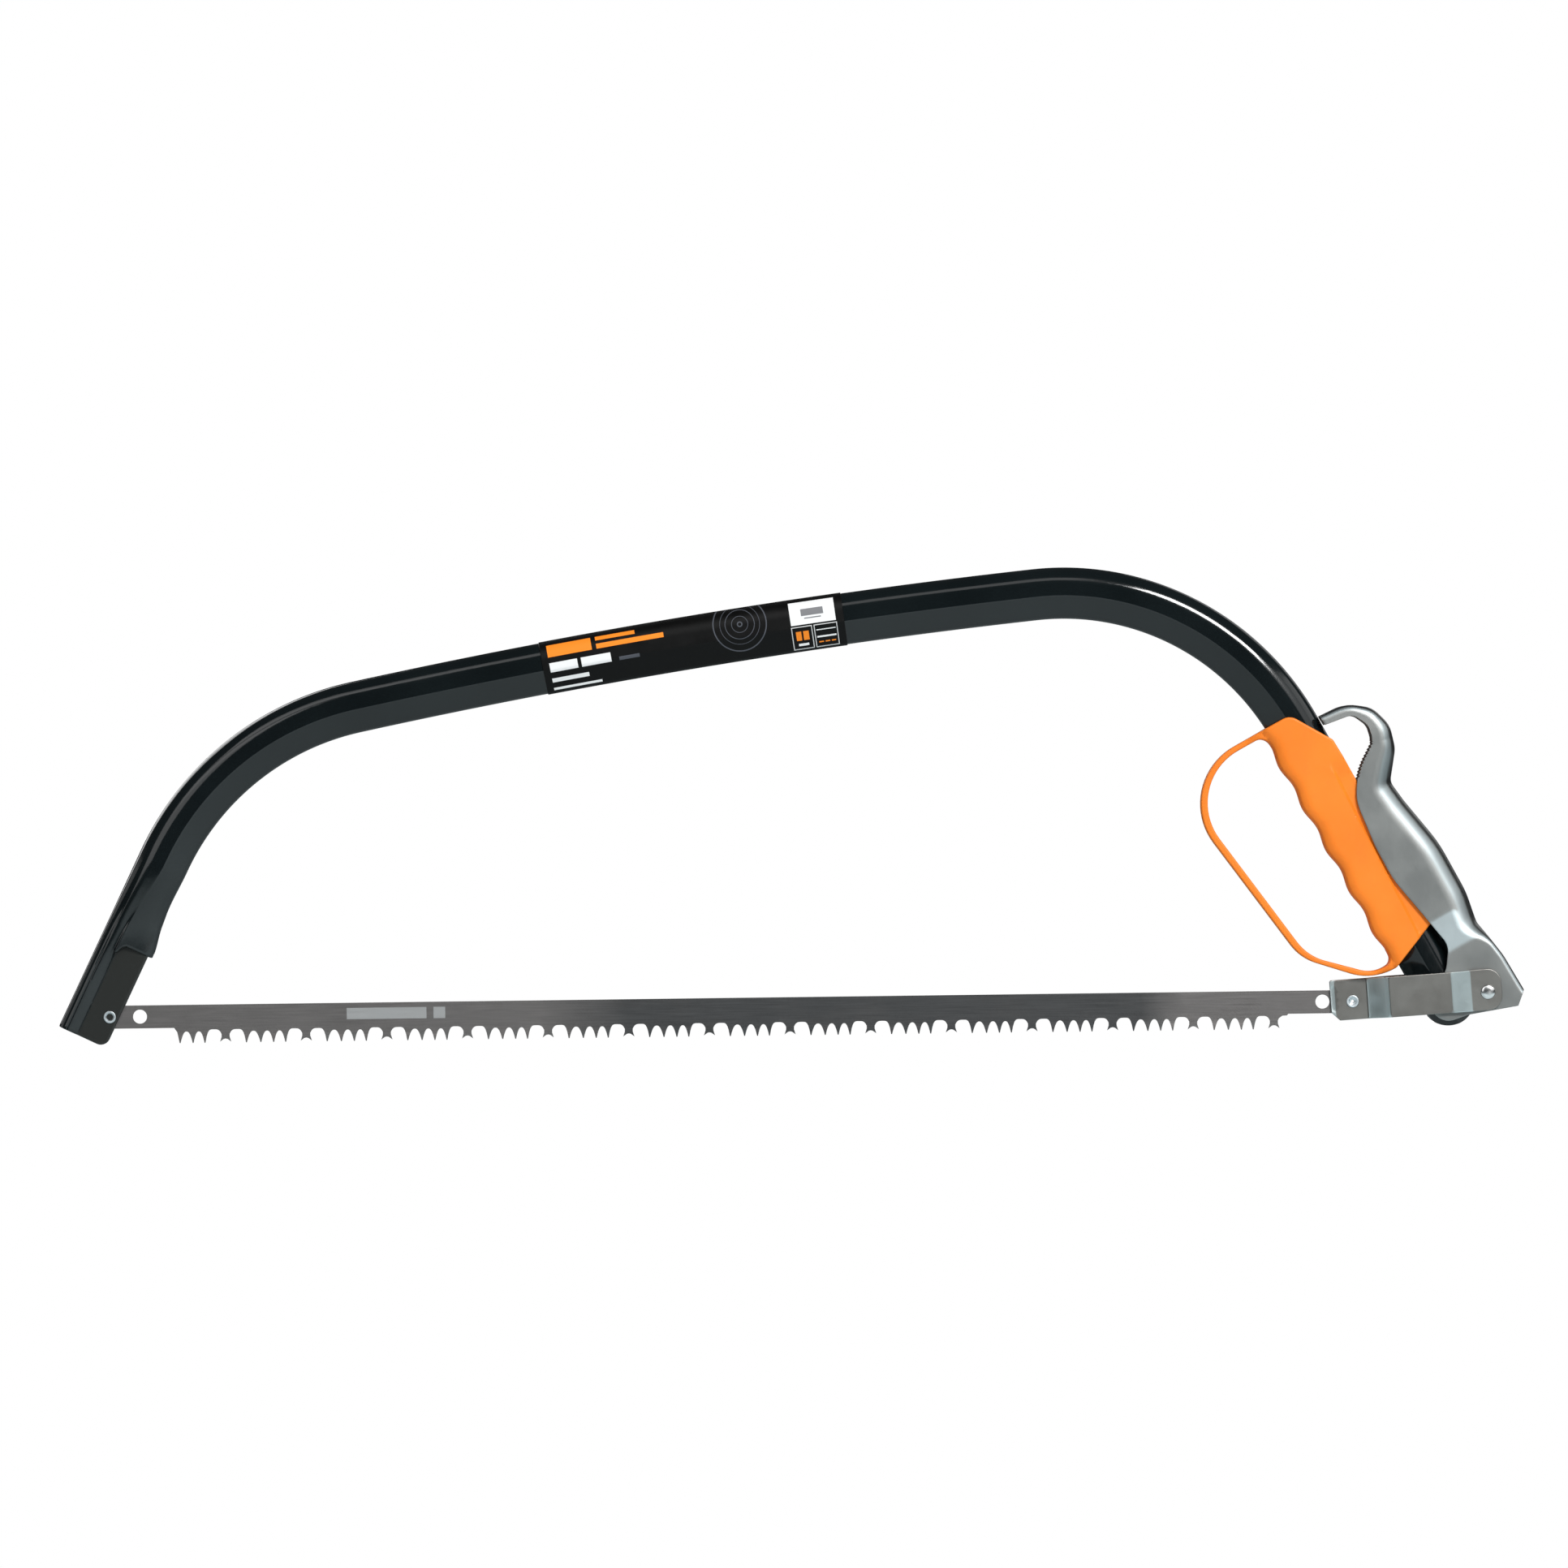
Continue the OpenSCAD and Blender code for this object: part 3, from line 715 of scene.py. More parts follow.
def teardrop(grow=-0.05):
    """The tube's section: round outside, flat sides to a shoulder, then flanks to a small round.
    It is a hair slimmer than the CAD's, whose facets cut across its curves."""
    big, small = round_r + grow, inner_r + grow
    big_x, small_x = half_depth - round_r, inner_r - half_depth
    reach = np.array([shoulder_x - small_x, round_r])
    facing = atan2(reach[1], reach[0]) + acos(inner_r / np.linalg.norm(reach))
    bend = shoulder_r + grow
    bend_x = shoulder_x + shoulder_r * tan((facing - QUARTER) / 2)
    arc = [[big_x + big * cos(a), big * sin(a)] for a in np.linspace(0, QUARTER, 31)]
    side = [[mix(big_x, bend_x, share), big] for share in (0.25, 0.5, 0.75)]
    shoulder = [[bend_x + bend * cos(a), big - bend + bend * sin(a)]
                for a in np.linspace(QUARTER, facing, 6)]
    nose = [[small_x + small * cos(a), small * sin(a)] for a in np.linspace(facing, pi, 11)]
    flank = [mix(np.array(shoulder[-1]), np.array(nose[0]), k / 11) for k in range(1, 11)]
    return mirrored(np.array(arc + side + shoulder + flank + nose))


BEAD = [[bead_x + bead_r * cos(a), bead_r * sin(a)]
        for a in np.radians(np.linspace(0, 64, 10))]
# Half sections from the bead to the inner side: the chin, and the pressed end below it
CHIN = [
    [7.7, 4.38], [7.25, 4.6], [6.7, 4.84], [5.8, 5.06], [4.9, 5.12], [4.2, 5.07], [3.5, 4.97],
    [3.0, 4.89], [2.6, 4.82], [2.25, 4.76], [1.7, 4.66], [-1, 4.2], [-3, 3.85], [-5, 3.5],
    [-7, 3.15], [-9, 2.8], [-10.5, 2.5], [-11.6, 2.1], [-12.4, 1.5], [-12.9, 0.8], [-13.1, 0]
]
PRESSED = [
    [7.7, 4.18], [7.2, 3.92], [6.7, 4.14], [5.8, 3.95], [4.9, 3.7], [4.2, 3.5], [3.5, 3.3],
    [3.0, 3.15], [2.6, 3.0], [2.25, 2.6], *[[x, 2.0] for x in (1.7, -1, -3, -5, -7, -9, -10.3)],
    [-10.7, 1.85], [-10.92, 1.5], [-11, 1.0], [-11, 0]
]


def toe_ring(t, pressed, shrink=0.0):
    """The ring t up from the toe's end. The step to the pressed panel is on the inner side only:
    on the outer side the bead and its folds run up and fade into the tube."""
    chin, panel = toe_section(CHIN), toe_section(PRESSED)
    upper = mix(chin, teardrop(), smooth((t - chin_top) / (chin_reach - chin_top)))
    tuck = window(t, press_length, 14, chin_reach, 20) * smooth((-upper[:, 0] - 6) / 5)
    upper = upper + np.stack([tuck_in * tuck, 0 * tuck], 1)
    outer = smooth((chin[:, 0] - 2.3) / 1.2)[:, None]
    folded = mix(panel, upper, smooth((t - fold_start) / fold_length))
    section = mix(panel if pressed else upper, folded, outer)
    if shrink:
        section = mix(inset(section, shrink), section, outer if t > 1 else 0)
    x = section[:, 0]
    # The step's edge dips beside the bead, and the toe's inner corner is round
    dip = dip_down * window(x, -0.4, 2.4, 4.4, 1.4) * smooth(1 - abs(t - press_length) / 9)
    below = np.clip(toe_corner - half_depth - x, 0, toe_corner)
    corner = toe_corner - np.sqrt(toe_corner ** 2 - below ** 2)
    return ring_at(toe, section, dip - t - corner * np.clip(1 - t / 9, 0, 1))


def bow_tube(finish):
    rings = []
    end = np.sqrt(end_r ** 2 - np.clip(teardrop()[:, 0], -half_depth, half_depth) ** 2)
    for deep, shrink in ((9, tube_wall), (0, tube_wall), (0, 0.4), (0.15, 0.12), (0.5, 0)):
        rings.append(ring_at(handle, teardrop(-shrink), deep - end))
    for distance in np.linspace(1.5, bow_length - chin_reach, 270):
        rings.append(ring_at(bow_at(distance), teardrop()))
    rings += [toe_ring(t, False) for t in np.arange(chin_reach - 1, press_length + 2, -1.0)]
    rings += [toe_ring(press_length + t, False, shrink)
              for t, shrink in ((1.2, 0), (0.5, 0), (0.2, 0.08), (0, 0.3))]
    plain_rings = len(rings)
    rings += [toe_ring(press_length - t, True) for t in (0.25, 0.8, 2.5)]
    rings += [toe_ring(t, True) for t in np.linspace(press_length - 4, 0.6, 40)]
    rings += [toe_ring(0.15, True, 0.12), toe_ring(0, True, 0.4)]
    verts, faces = loft(rings)
    count = len(rings[0])
    faces += lid(count, 0) + lid(count, count * (len(rings) - 1), flip=True)
    panel = smooth((2.2 - toe_section(PRESSED)[:, 0]) / 0.4)
    thin = np.concatenate([np.zeros(count * plain_rings), np.tile(panel, len(rings) - plain_rings)])
    piece = make("bow_tube", verts, faces, finish, sharp=40, thin=thin)
    slot = [(slot_back, -slot_half), (slot_front, -slot_half),
            (slot_front, slot_half), (slot_back, slot_half)]
    cut(piece, *toe_prism(slot, -1, press_length + 2))
    cut(piece, *toe_prism(circle((bead_x, 0), bead_bore, 32), -1, 22))
    join(piece, "frame", "frame_tube")


def label_sleeve(finish):
    """The film, whose points know where they lie on its print."""
    start, film_in, film_t, lip = long_start + sleeve_start, 0.05, 0.3, 0.15
    outer, rolled, under = (teardrop(film_in + out) for out in (film_t, film_t - 0.12, 0))
    along = [lip, *np.linspace(0, sleeve_length, 60)[1:-1], sleeve_length - lip]
    stops = [(0, rolled), *[(a, outer) for a in along], (sleeve_length, rolled)]
    stops += [(a, under) for a in (sleeve_length, sleeve_length / 2, 0)]
    verts, faces = loft([ring_at(bow_at(start + a), section) for a, section in stops], loop=True)
    spots = [[sleeve_length - a, half_depth - x, y] for a, section in stops for x, y in section]
    piece = make("printed_sleeve", verts, faces, finish, print=spots)
    join(piece, "frame", "label_sleeve")


# ---- grip ----

# Half widths: the grip, its guard, and the land where the lever's cheeks close over it
grip_half, guard_half, land_half = 10.4, 6.0, 8.55
grip_top = 138.6
groove_pitch, groove_depth, groove_front, first_ridge = 20.2, 0.75, 13.1, 40
nose_thin = 2.2  # how much thinner each side is at the grooves


def grip_moulding(finish):
    """Grip and finger guard in one, drawn in the handle's frame."""
    outline = rounded([
        (11.8, 32.8, 1), (11.8, 112, 8), (half_depth + 0.5, 120.5, 3), (0.5, grip_top, 6),
        (-58.3, grip_top - 0.2, 28), (-46, 45.8, 22), (-23.8, 22.4, 24), (-12.6, 22.6, 2)
    ], step=5)

    def front(s):
        return -groove_front - groove_depth * np.cos(2 * pi * (s - first_ridge) / groove_pitch)

    grooves = [(front(s), s, 0) for s in np.arange(129.5, 31, -1.25)]
    opening = rounded([(-12.9, grip_top - 2.5, 5), *grooves, (-12.9, 25.2, 3.6), (-22.3, 25.2, 13),
                       (-43, 45.3, 22), (-54.9, grip_top - 2.5, 25.5)], step=5)

    def crease(s):
        return mix(2.4, 5.0, (s - 31) / 69)

    def half_width(points):
        d, s = points.T
        land = (grip_half - land_half) * (1 - smooth((s - 103.5) / 10))
        body = grip_half - land * smooth((d - crease(s) + 0.6) / 1.2)
        near = np.clip((d - front(s)) / 5, 0, 1)
        body = body - nose_thin * (1 - near) ** 2.4
        return mix(guard_half, body, smooth((d + 22) / 8.5))

    s = np.arange(24, 137, 1.6)
    ridge = np.concatenate([np.stack([crease(s) + move, s], 1)
                            for move in (-1.2, -0.6, -0.2, 0.2, 0.6, 1.2)])
    piece = plate("grip_and_guard", outline, [opening], lambda p: -half_width(p), half_width,
                  finish, edge=0.8, steps=5, grid=1.7, spacing=1.2, place=handle, crease=ridge)
    join(piece, "frame", "grip")


# ---- tension lever ----

lever_sheet = 1.4
upper_half, foot_half, hook_draw = 10.2, 11.4, 1.2
# Both edges of the lever's side, from the hook's tip to the beak, in the handle's frame
LEVER_BACK = [
    (11.5, 131.9, 0), (23.6, 131.2, 16), (32.9, 124.1, 10), (35.9, 114, 12), (33, 104, 12),
    (24.3, 92.6, 5), (25.4, 83, 30), (29.6, 60, 60), (29.4, 36, 40), (26.9, 22.5, 8),
    (29.6, 5, 30), (30, -12.1, 0)
]
LEVER_FRONT = [
    (11.7, 127.6, 0), (24.2, 125.7, 5), (27.6, 118.5, 6), (26.2, 111.8, 6), (14.2, 103.8, 30),
    (7.2, 93, 20), (4.8, 72, 60), (4.5, 56, 40), (8.2, 37, 20), (11.2, 20, 8), (4.5, 10.5, 10),
    (-8.2, 6.5, 6), (-8.6, -7.6, 7.5), (4, -9.8, 8), (24.4, -16.9, 0)
]
# Places that face each other on the two edges, as points on the back and on the front
LEVER_PAIRS = [
    ((22, 131.2), (22.5, 126)), ((31.5, 125), (26.6, 122)), ((34.6, 114), (27, 114)),
    ((32.5, 104), (22, 109)), ((26.5, 96), (11, 99)), ((25, 89), (6.8, 90)), ((26, 80), (4.9, 78)),
    ((29.2, 60), (4.5, 56)), ((29.3, 40), (7.6, 39)), ((27.5, 24), (10.4, 24)),
    ((27.8, 17), (7.5, 13.5)), ((29, 8), (-4, 7.3)), ((29.6, 1), (-8.3, -0.5)),
    ((29.7, -4), (-3, -8.6)), ((29.8, -7.5), (8, -11.1)), ((29.9, -10), (17, -14.3))
]
foot_low, foot_high = 16.5, 33.0  # the band that steps out to the foot
foot_roll, back_roll, hook_roll = 2.4, 9.3, 6.0  # how far the rolled back reaches inward
tooth_pitch, tooth_depth = 1.5, 0.75
SERRATED = [(25.8, 111.6), (12.5, 101.5)]  # ends of the toothed stretch of the front edge


def rounded_line(corners):
    """An open line with rounded corners. Two far points close it while its corners are rounded."""
    far = [(corners[-1][0] + 1, corners[-1][1] - 50, 0), (corners[0][0] - 50, corners[0][1], 0)]
    return rounded([*corners, *far], step=5)[:-2]


def in_step(points):
    """How far across the slanting band a point is, from 0 above it to 1 in the foot."""
    d, s = points.T
    top = foot_high - 12 * smooth((d - 19.5) / 9)
    return np.clip((top - s) / np.maximum(top - foot_low, 3), 0, 1)


def lever_half(points):
    """Half width of the lever: it steps out above the foot, and draws in a little at the hook."""
    share = in_step(points)
    eased = np.clip(1.06 * share - 0.03, 0, 1)
    return mix(upper_half, foot_half, eased) - hook_draw * smooth((points[:, 1] - 112) / 20)


def place_on(line, spots):
    """How far along the line the nearest point to each spot is, as a share of its length."""
    run = lengths(line)
    nearest = [np.argmin(np.sum((line - spot) ** 2, axis=1)) for spot in np.array(spots)]
    return run[nearest] / run[-1]


def along_line(line, shares):
    run = lengths(line)
    return np.stack([np.interp(shares, run / run[-1], column) for column in line.T], 1)


def lever_channel(finish):
    back, front = (dense(rounded_line(edge), 0.5, closed=False)
                   for edge in (LEVER_BACK, LEVER_FRONT))
    keys_back, keys_front = (np.array([0, *place_on(line, spots), 1])
                             for line, spots in zip((back, front), zip(*LEVER_PAIRS)))
    run = lengths(front)[-1]
    coarse = np.arange(0, 1, 1.1 / run)
    serrated = place_on(front, SERRATED)
    fine = np.arange(serrated[0], serrated[1], 0.3 / run)
    shares = np.concatenate([coarse[(coarse < serrated[0]) | (coarse > serrated[1])], fine, [1]])
    shares.sort()
    inner = along_line(front, shares)
    outer = along_line(back, np.interp(shares, keys_front, keys_back))
    widths = np.linalg.norm(outer - inner, axis=1)

    # Fine teeth pressed into the inner edge, under the hook
    bite = (shares > serrated[0]) & (shares < serrated[1])
    wave = np.abs(np.mod(2 * shares * run / tooth_pitch, 2) - 1)
    inward = outer - inner
    inward /= np.linalg.norm(inward, axis=1)[:, None]
    inner = inner + inward * (tooth_depth * wave * bite)[:, None]

    turns = np.linspace(QUARTER, 0, 13)
    rings, worked, polish = [], [], []
    for a, b, plain in zip(inner, outer, widths):
        width = np.linalg.norm(b - a)
        roll = mix(foot_roll, back_roll, smooth((b[1] - 11) / 15))
        roll = min(mix(roll, hook_roll, smooth((b[1] - 92) / 16)), 0.62 * plain)
        inwards = (a - b) / width
        half = lever_half(np.array([b]))[0]
        depth = min(roll, half - 1)
        arc = [(roll * (1 - sin(t)), depth * (1 - cos(t))) for t in turns]
        cheek = [(roll + (width - roll) * k / 18, 0) for k in range(1, 19)]
        side = np.array([b + inwards * e for e, _ in arc + cheek])
        drop = np.array([y for _, y in arc + cheek])
        y = lever_half(side) - drop
        web = stand(handle.at([b, b, b]), np.array([-0.5, 0, 0.5]) * (half - depth))
        front_side, back_side = (stand(handle.at(side), sign * y) for sign in (-1, 1))
        rings.append(np.concatenate([front_side[::-1], web, back_side]))
        # Painted highlight: the band and a strip beside the roll get a brighter colour, and the
        # roll itself is polished
        band = window(in_step(side), 0, 0.06, 1, 0.12) * smooth((0.6 - drop) / 0.5)
        reach = np.linalg.norm(side - b, axis=1) / roll
        rolled = smooth((0.30 - reach) / 0.08)
        band = np.maximum(band, 0.7 * smooth((0.78 - reach) / 0.16) * (1 - rolled))
        worked += [*band[::-1], 0, 0, 0, *band]
        polish += [*rolled[::-1], 1, 1, 1, *rolled]
    verts, faces = loft(rings, closed=False)
    piece = make("lever_channel", verts, faces, finish, sharp=50, worked=worked, polish=polish)
    sheet = piece.modifiers.new("sheet", "SOLIDIFY")
    sheet.thickness = lever_sheet * MM
    sheet.offset = -1
    rim = piece.modifiers.new("rim", "BEVEL")
    rim.width = 0.22 * MM
    rim.segments = 2
    rim.limit_method = "ANGLE"
    rim.angle_limit = radians(60)
    applied(piece, sharp=50)
    join(piece, "lever", "tension_lever")


# ---- link plates ----

link_sheet = 1.5
near_in, strap_in, widest_in = 0.6, 11.7, 12.6  # how far out its inner face stands
LINK_STEPS = ((6.5, 15.2, near_in, strap_in), (42, 50, strap_in, widest_in))


def strap_inner(x):
    """How far out the inner face of a link plate stands at x from the blade's pin."""
    y = np.full(len(x), near_in)
    for start, end, low, high in LINK_STEPS:
        y = y + (high - low) * smooth(0.1 + 0.8 * (x - start) / (end - start)) * (x > start)
        y = np.where(x > end, high, y)
    return y


def link_strap(where, side, finish):
    """One joggled strip, with a hole for its rivet and for its pin, and a coined lip at its end."""
    front, lip_at, low_z, high_z = -9.2, -7.25, -7.8, 9.5
    far = link_length + 6
    outline = rounded([
        (front, high_z, 0.8), (46, high_z, 30), (52, 9.8, 0), (far, 9.8, 6), (far, low_z, 6),
        (-5.8, low_z, 0.5), (front, -4.3, 0.5)
    ], step=6)[::-1]
    holes = [circle((middle, 0), r) for middle, r in ((0, 2.5), (link_length, 2.55))]
    # Rows of points along each fold, with one just inside and one just outside each end
    folds = []
    for (start, end, _, _), count in zip(LINK_STEPS, (15, 11)):
        folds += [start - 0.35, start - 0.06, *np.linspace(start + 0.06, end - 0.06, count),
                  end + 0.06, end + 0.35]
    folds += [lip_at - 0.55, lip_at - 0.25, lip_at]
    crease = np.array([[x, z] for x in folds for z in np.arange(-7.1, 9.4, 0.8)])

    def inner(points):
        return side * strap_inner(points[:, 0])

    def outer(points):
        x, z = points.T
        slope = (strap_inner(x + 0.1) - strap_inner(x - 0.1)) / 0.2
        sheet = link_sheet * np.minimum(np.sqrt(1 + slope ** 2), 1.45)
        lip = 0.3 * smooth((x + 9.3) / 0.4) * np.clip((lip_at - x) / 0.5, 0, 1)
        return side * (strap_inner(x) + sheet - lip * window(z, -3.8, 0.8, 7, 0.8))

    low, high = (inner, outer) if side > 0 else (outer, inner)
    piece = plate(f"link_strap_{where}", outline, holes, low, high, finish,
                  edge=0.28, grid=1.6, spacing=0.9, place=link, crease=crease)
    spots = np.array([vert.co for vert in piece.data.vertices]) / MM
    x = link.local(spots[:, [0, 2]])[:, 0]
    # Painted highlight: the folds and the coined lip are painted bright
    bends = sum(np.clip((x - start + 0.3) / 0.36, 0, 1) * np.clip((end + 0.3 - x) / 0.36, 0, 1)
                for start, end, _, _ in LINK_STEPS)
    lip = np.clip((lip_at - x) / 0.25, 0, 1) * 0.8
    give(piece.data, "worked", np.clip(bends + lip, 0, 1))
    join(piece, "link", f"link_plate_{where}")


# ---- blade ----

blade_half, blade_top, strip_low, tooth_low = 0.45, 4.8, -5.0, -11.5
first_raker, group_pitch, raker_count = 49.2, 34.4, 14
PEGS = (8.9, 15.0, 20.5, 25.6)  # the cutting teeth after each raker
peg_half, raker_half, raker_neck = 0.2, 1.7, -7.8
blade_tail, spare_at = 6.5, 12.8
pin_hole_r, spare_hole_r = 2.55, 3.0
wide_roof, peg_roof = -5.8, -6.6  # tops of the gullets beside rakers and between pegs
set_out, ground_off = 0.45, 0.22  # bend of a tooth's tip, and what is ground off there


def arch(a, b, roof, power, count=14):
    """The roof of a gullet, from one point to another."""
    out = []
    for t in np.linspace(-1, 1, count + 1)[1:-1]:
        foot = a[1] if t < 0 else b[1]
        out.append([mix(a[0], b[0], (t + 1) / 2), roof - (roof - foot) * abs(t) ** power])
    return out


def raker(x):
    half = [[-raker_half, raker_neck], [-1.7, -9], [-2.05, -10.1], [-2.4, tooth_low + 0.4],
            [-1.6, -10.5], [-0.8, -9.95]]
    return [[x + p, z] for p, z in half] + [[x, -9.8]] + [[x - p, z] for p, z in half[::-1]]


def peg_row(x, first):
    """The cutting teeth after the raker at x, with the gullets up to the next raker."""
    out = []
    tips = [(x + peg - peg_half, x + peg + peg_half) for peg in PEGS[first:]]
    for i, (left, right) in enumerate(tips):
        out += [[left, tooth_low], [right, tooth_low]]
        if i < len(tips) - 1:
            out += arch((right, tooth_low), (tips[i + 1][0], tooth_low), peg_roof, 2.4)
    return out + arch((right, tooth_low), (x + group_pitch - raker_half, raker_neck), wide_roof, 4)


def blade_outline():
    points = [[-blade_tail, strip_low], [27.3, strip_low], [28.6, -6.8]]
    points += peg_row(first_raker - group_pitch, 1)
    for n in range(raker_count):
        x = first_raker + n * group_pitch
        points += raker(x)
        if n < raker_count - 1:
            first_tip = (x + PEGS[0] - peg_half, tooth_low)
            points += arch((x + raker_half, raker_neck), first_tip, wide_roof, 4)
            points += peg_row(x, 0)
    points += [[x + 2.2, -6.8], [x + 3.6, -5.8], [x + 5.6, -5.7], [x + 6.2, strip_low]]
    end = blade_pin[0] - toe_pin[0] + blade_tail
    return np.array([*points, [end, strip_low], [end, blade_top], [-blade_tail, blade_top]])


def tooth_set(points):
    """How far across the saw each tooth is bent, one to one side and the next to the other."""
    x, z = points.T
    group = np.mod(x - first_raker, group_pitch)
    turn = np.zeros(len(points))
    for i, at in enumerate(PEGS):
        near = np.abs(group - at) < 2.4
        turn = np.where(near, 1.0 if i % 2 else -1.0, turn)
    odd = np.floor((x - first_raker) / group_pitch) % 2
    return turn * np.where(odd > 0, -1, 1) * set_out * smooth((-7.4 - z) / 4.1)


def half_thickness(points):
    """Half the blade's thickness, less what is ground off a tooth toward its tip."""
    return blade_half - ground_off * smooth((-9.3 - points[:, 1]) / 2.2)


def blade_strip(finish):
    span = blade_pin[0] - toe_pin[0]
    holes = [circle((x, 0), pin_hole_r) for x in (0, span)]
    holes += [circle((x, 0), spare_hole_r) for x in (spare_at, span - spare_at)]
    low, high = (lambda points, side=side: tooth_set(points) + side * half_thickness(points)
                 for side in (-1, 1))
    piece = plate("saw_blade", blade_outline(), holes, low, high, finish,
                  edge=0.05, steps=1, grid=2.2, spacing=2.0)
    join(piece, "saw_blade", "blade")


# ---- pins and rivets ----

cup_r, pin_bore, rim_rise, rim_r, pin_r = 1.7, 0.7, 0.5, 2.65, 2.5


def cupped_end(end, way):
    """The profile of a pin's end, from its shank over its rolled rim into the cup and the bore."""
    points = [(pin_r, -0.3), (pin_r, 0), (rim_r - 0.08, 0.03), (rim_r, 0.12)]
    points += [(rim_r - 0.3 * (1 - cos(a)), 0.12 + (rim_rise - 0.12) * sin(a))
               for a in np.radians((20, 40, 60, 75, 90))]
    points += [(r, rim_rise - deep) for r, deep in (
        (cup_r + 0.3, 0), (cup_r + 0.1, 0.05), (cup_r, 0.18), (cup_r - 0.15, 0.4),
        (cup_r - 0.4, 0.6), (pin_bore + 0.12, 0.8), (pin_bore, 0.9))]
    return [(r, end + way * y) for r, y in points]


def toe_hollow_pin(finish):
    profile = cupped_end(-toe_half, -1)[::-1] + cupped_end(toe_half, 1)
    piece = turned("toe_pin_hollow", toe_pin, [profile], finish)
    join(piece, "frame", "toe_pin")


def blade_pin_studs(finish):
    profiles = [[(pin_bore, way * near_in), (pin_r, way * near_in),
                 *cupped_end(way * (near_in + link_sheet), way)] for way in (-1, 1)]
    piece = turned("blade_pin_studs", blade_pin, profiles, finish)
    join(piece, "link", "blade_studs")


def domed_rivet(finish):
    """The link rivet, with a dome on each side and a hammered flat on its top."""
    head_r, head_h, shank_r, out = 3.1, 1.1, 2.5, widest_in + link_sheet
    half = [(shank_r, -0.4), (shank_r, 0), (head_r - 0.12, 0.04), (head_r, 0.16)]
    half += [((head_r - 0.04) * cos(a), 0.2 + (head_h - 0.2) * sin(a))
             for a in np.radians((8, 20, 34, 48, 62, 75))]
    half += [(0.35, head_h - 0.01), (0.0, head_h - 0.01)]
    profile = [(r, -out - y) for r, y in half[::-1]] + [(r, out + y) for r, y in half]
    piece = turned("link_rivet_domed", link_pin, [profile], finish)
    join(piece, "lever", "link_rivet")


# ---- finishes of the CAD nodes that stay ----

def finish_node(node, finish):
    mesh = frame["nodes"][node].data
    mesh.materials.clear()
    mesh.materials.append(finish)


# ---- stage ----

camera_data = bpy.data.cameras.new("camera")
camera_data.lens = 250
camera_data.sensor_width = 36
camera = show("camera", camera_data)
camera.location = (-0.2433, -4.645, 0.0251)
camera.rotation_euler = (radians(90), radians(0.73), 0)
scene.camera = camera
scene.view_settings.view_transform = "Standard"

lit_from = Vector((-0.24, 0, 0.02))  # the middle of the saw
floor_z = -0.45
# Softboxes: direction, distance, size across and along, radiance, and what the last size runs along
UP = (0, 0, 1)
LIGHTS = {
    "key": ((0.418, -0.72, 0.555), 2.4, (0.82, 0.66), 34, (0.43, 0.695, 0.575)),
    "right_front": ((0.644, -0.695, 0.321), 2.4, (0.8, 1.5), 1.0, (0.622, 0.719, 0.31)),
    "right_side": ((0.886, -0.139, 0.442), 2.4, (0.8, 1.5), 1.3, (0.124, 0.99, 0.062)),
    "front_top": ((-0.25, -0.7, 0.7), 2.4, (2.0, 0.7), 1.2, UP),
    "left_front": ((-0.55, -0.78, 0.30), 2.6, (1.4, 1.2), 1.3, UP),
    "left_top": ((-0.45, -0.70, 0.54), 2.4, (1.2, 1.0), 0.6, UP),
    "low_front": ((0.33, -0.93, -0.16), 2.4, (0.7, 1.0), 0.55, UP),
    "left": ((-1, 0.12, 0.12), 2.6, (1.4, 1.2), 0.7, UP),
    "back_left": ((-0.6, 0.75, 0.5), 2.6, (1.6, 1.4), 2.5, UP),
    "back_right": ((0.5, 0.8, 0.45), 2.6, (1.4, 1.2), 0.6, UP)
}


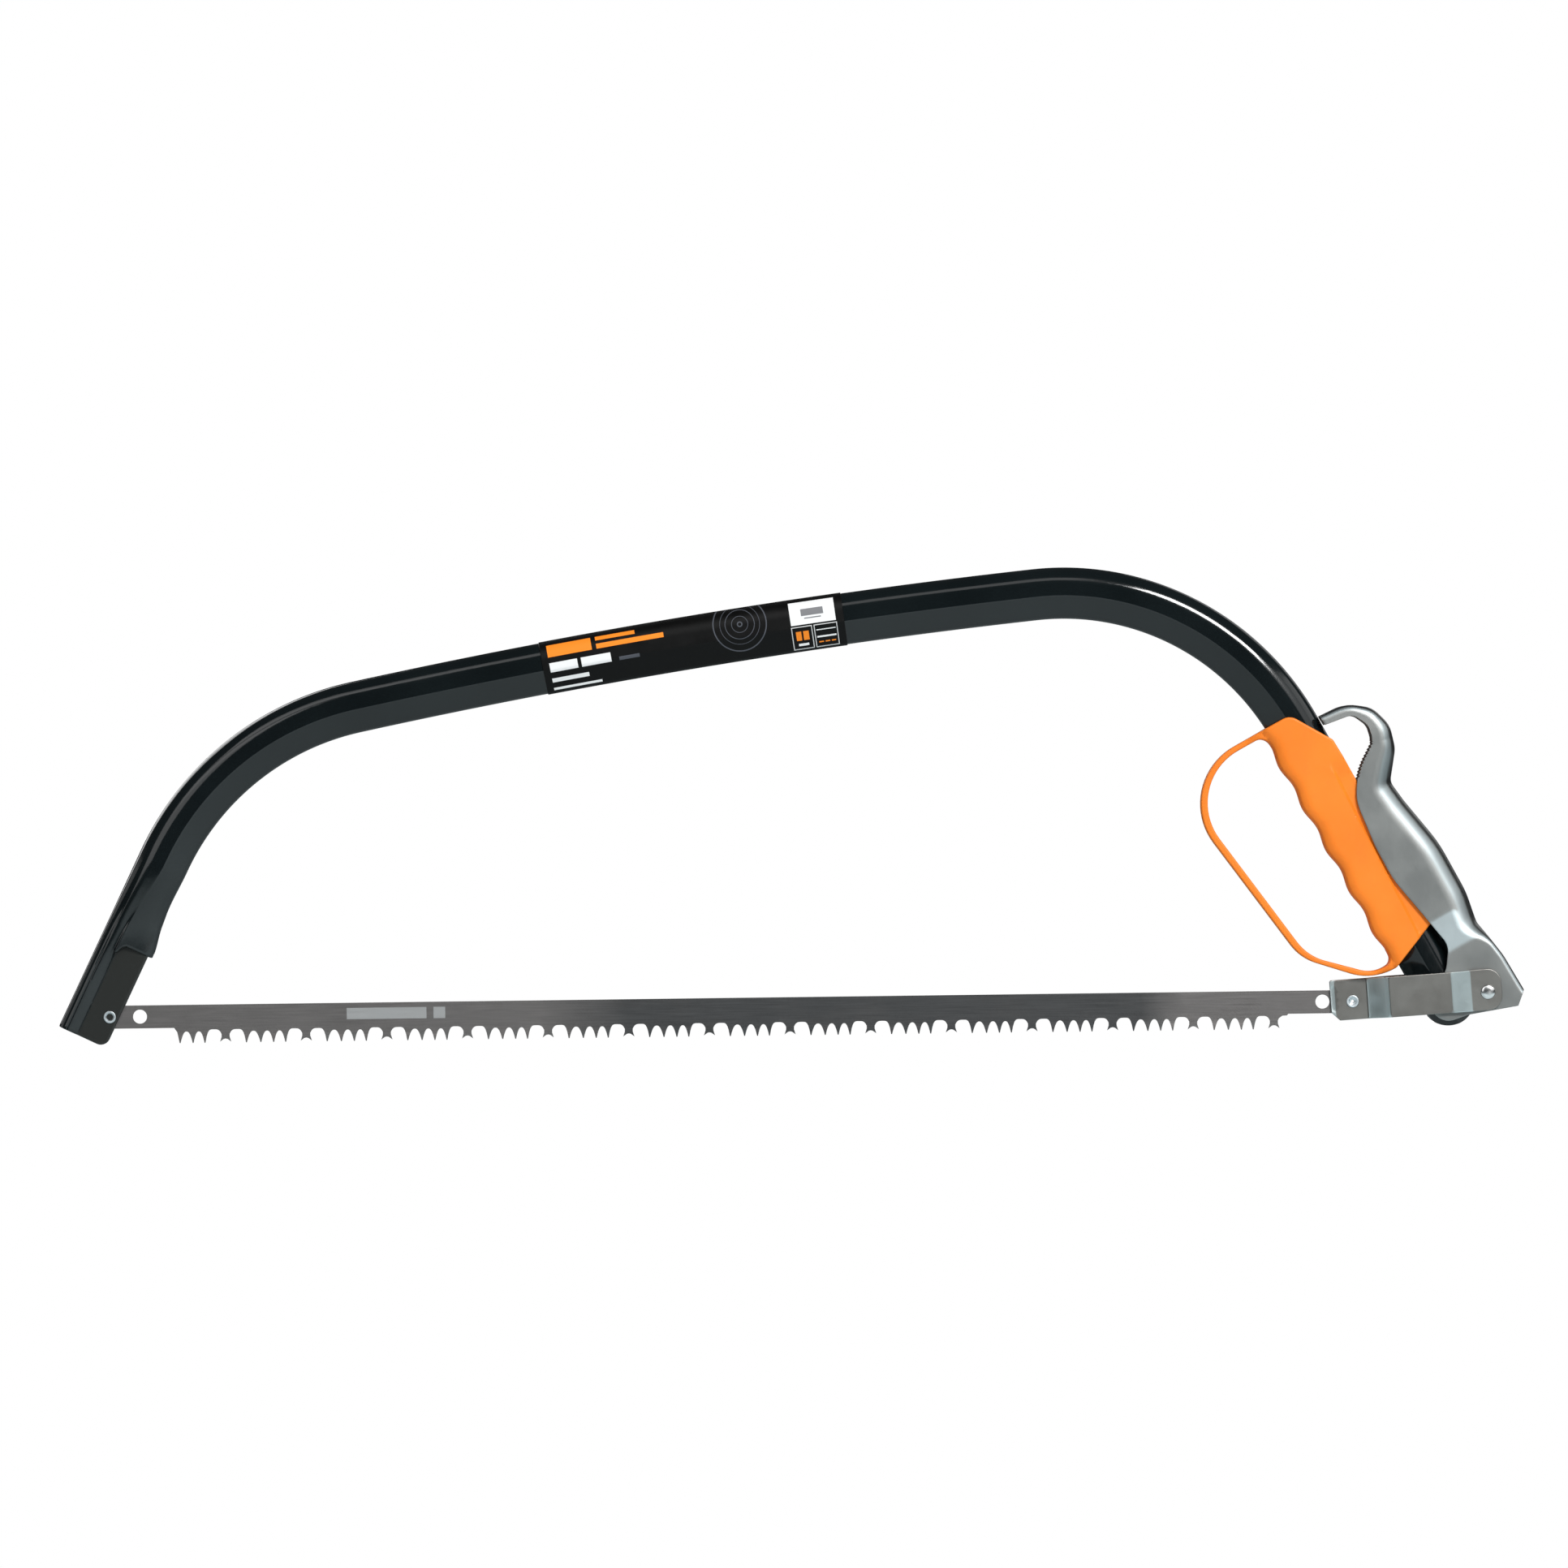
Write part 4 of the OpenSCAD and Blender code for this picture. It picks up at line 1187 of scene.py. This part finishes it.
def soft_light(name, direction, distance, size, radiance, along):
    away = Vector(direction).normalized()
    up = (Vector(along) - away * away.dot(Vector(along))).normalized()
    data = bpy.data.lights.new(name, "AREA")
    data.shape = "RECTANGLE"
    data.size, data.size_y = size
    # Radiance times area times pi is the power of a flat light
    data.energy = radiance * size[0] * size[1] * pi
    light = show(name, data)
    light.location = lit_from + away * distance
    light.rotation_euler = Matrix((up.cross(away), up, away)).transposed().to_euler()


def studio():
    """The softboxes, a pale floor below the saw, and a surround that is white to the camera."""
    for name, light in LIGHTS.items():
        soft_light(name, *light)
    floor = bpy.data.meshes.new("floor")
    corners = [(-3.2, -3.6), (2.7, -3.6), (2.7, 1.4), (-3.2, 1.4)]
    floor.from_pydata([(x, y, floor_z) for x, y in corners], [], [(0, 1, 2, 3)])
    floor.materials.append(Finish("floor_paper", (0.60, 0.69, 0.71), 0.9).material)
    show("floor", floor)
    world = bpy.data.worlds.new("surround")
    scene.world = world
    world.use_nodes = True
    tree = world.node_tree
    seen = tree.nodes["Background"]
    seen.inputs["Color"].default_value = (1, 1, 1, 1)
    dim = tree.nodes.new("ShaderNodeBackground")
    dim.inputs["Color"].default_value = (0.9, 0.96, 1, 1)
    dim.inputs["Strength"].default_value = 0.05
    ray = tree.nodes.new("ShaderNodeLightPath")
    choose = tree.nodes.new("ShaderNodeMixShader")
    tree.links.new(ray.outputs["Is Camera Ray"], choose.inputs[0])
    tree.links.new(dim.outputs[0], choose.inputs[1])
    tree.links.new(seen.outputs[0], choose.inputs[2])
    tree.links.new(choose.outputs[0], tree.nodes["World Output"].inputs["Surface"])


studio()

# ---- the saw ----

bow_tube(bow_enamel())
label_sleeve(label_film())
grip_moulding(grip_plastic())
lever_channel(zinc_plate())

strap_finish = link_steel()
link_strap("front", -1, strap_finish)
link_strap("back", 1, strap_finish)
blade_strip(blade_steel())

bright = plated_steel("pin_steel", (0.74, 0.80, 0.83), 0.42)
toe_hollow_pin(bright)
blade_pin_studs(bright)
domed_rivet(plated_steel("rivet_steel", (0.78, 0.79, 0.79), 0.22))

plain = plated_steel("plated_steel", (0.56, 0.57, 0.57), 0.35)
for node in ("pivot_bush", "pivot_washers", "pivot_rivet", "lever_spacer", "link_washers"):
    finish_node(node, plain)
finish_node("end_plug", plug_plastic())
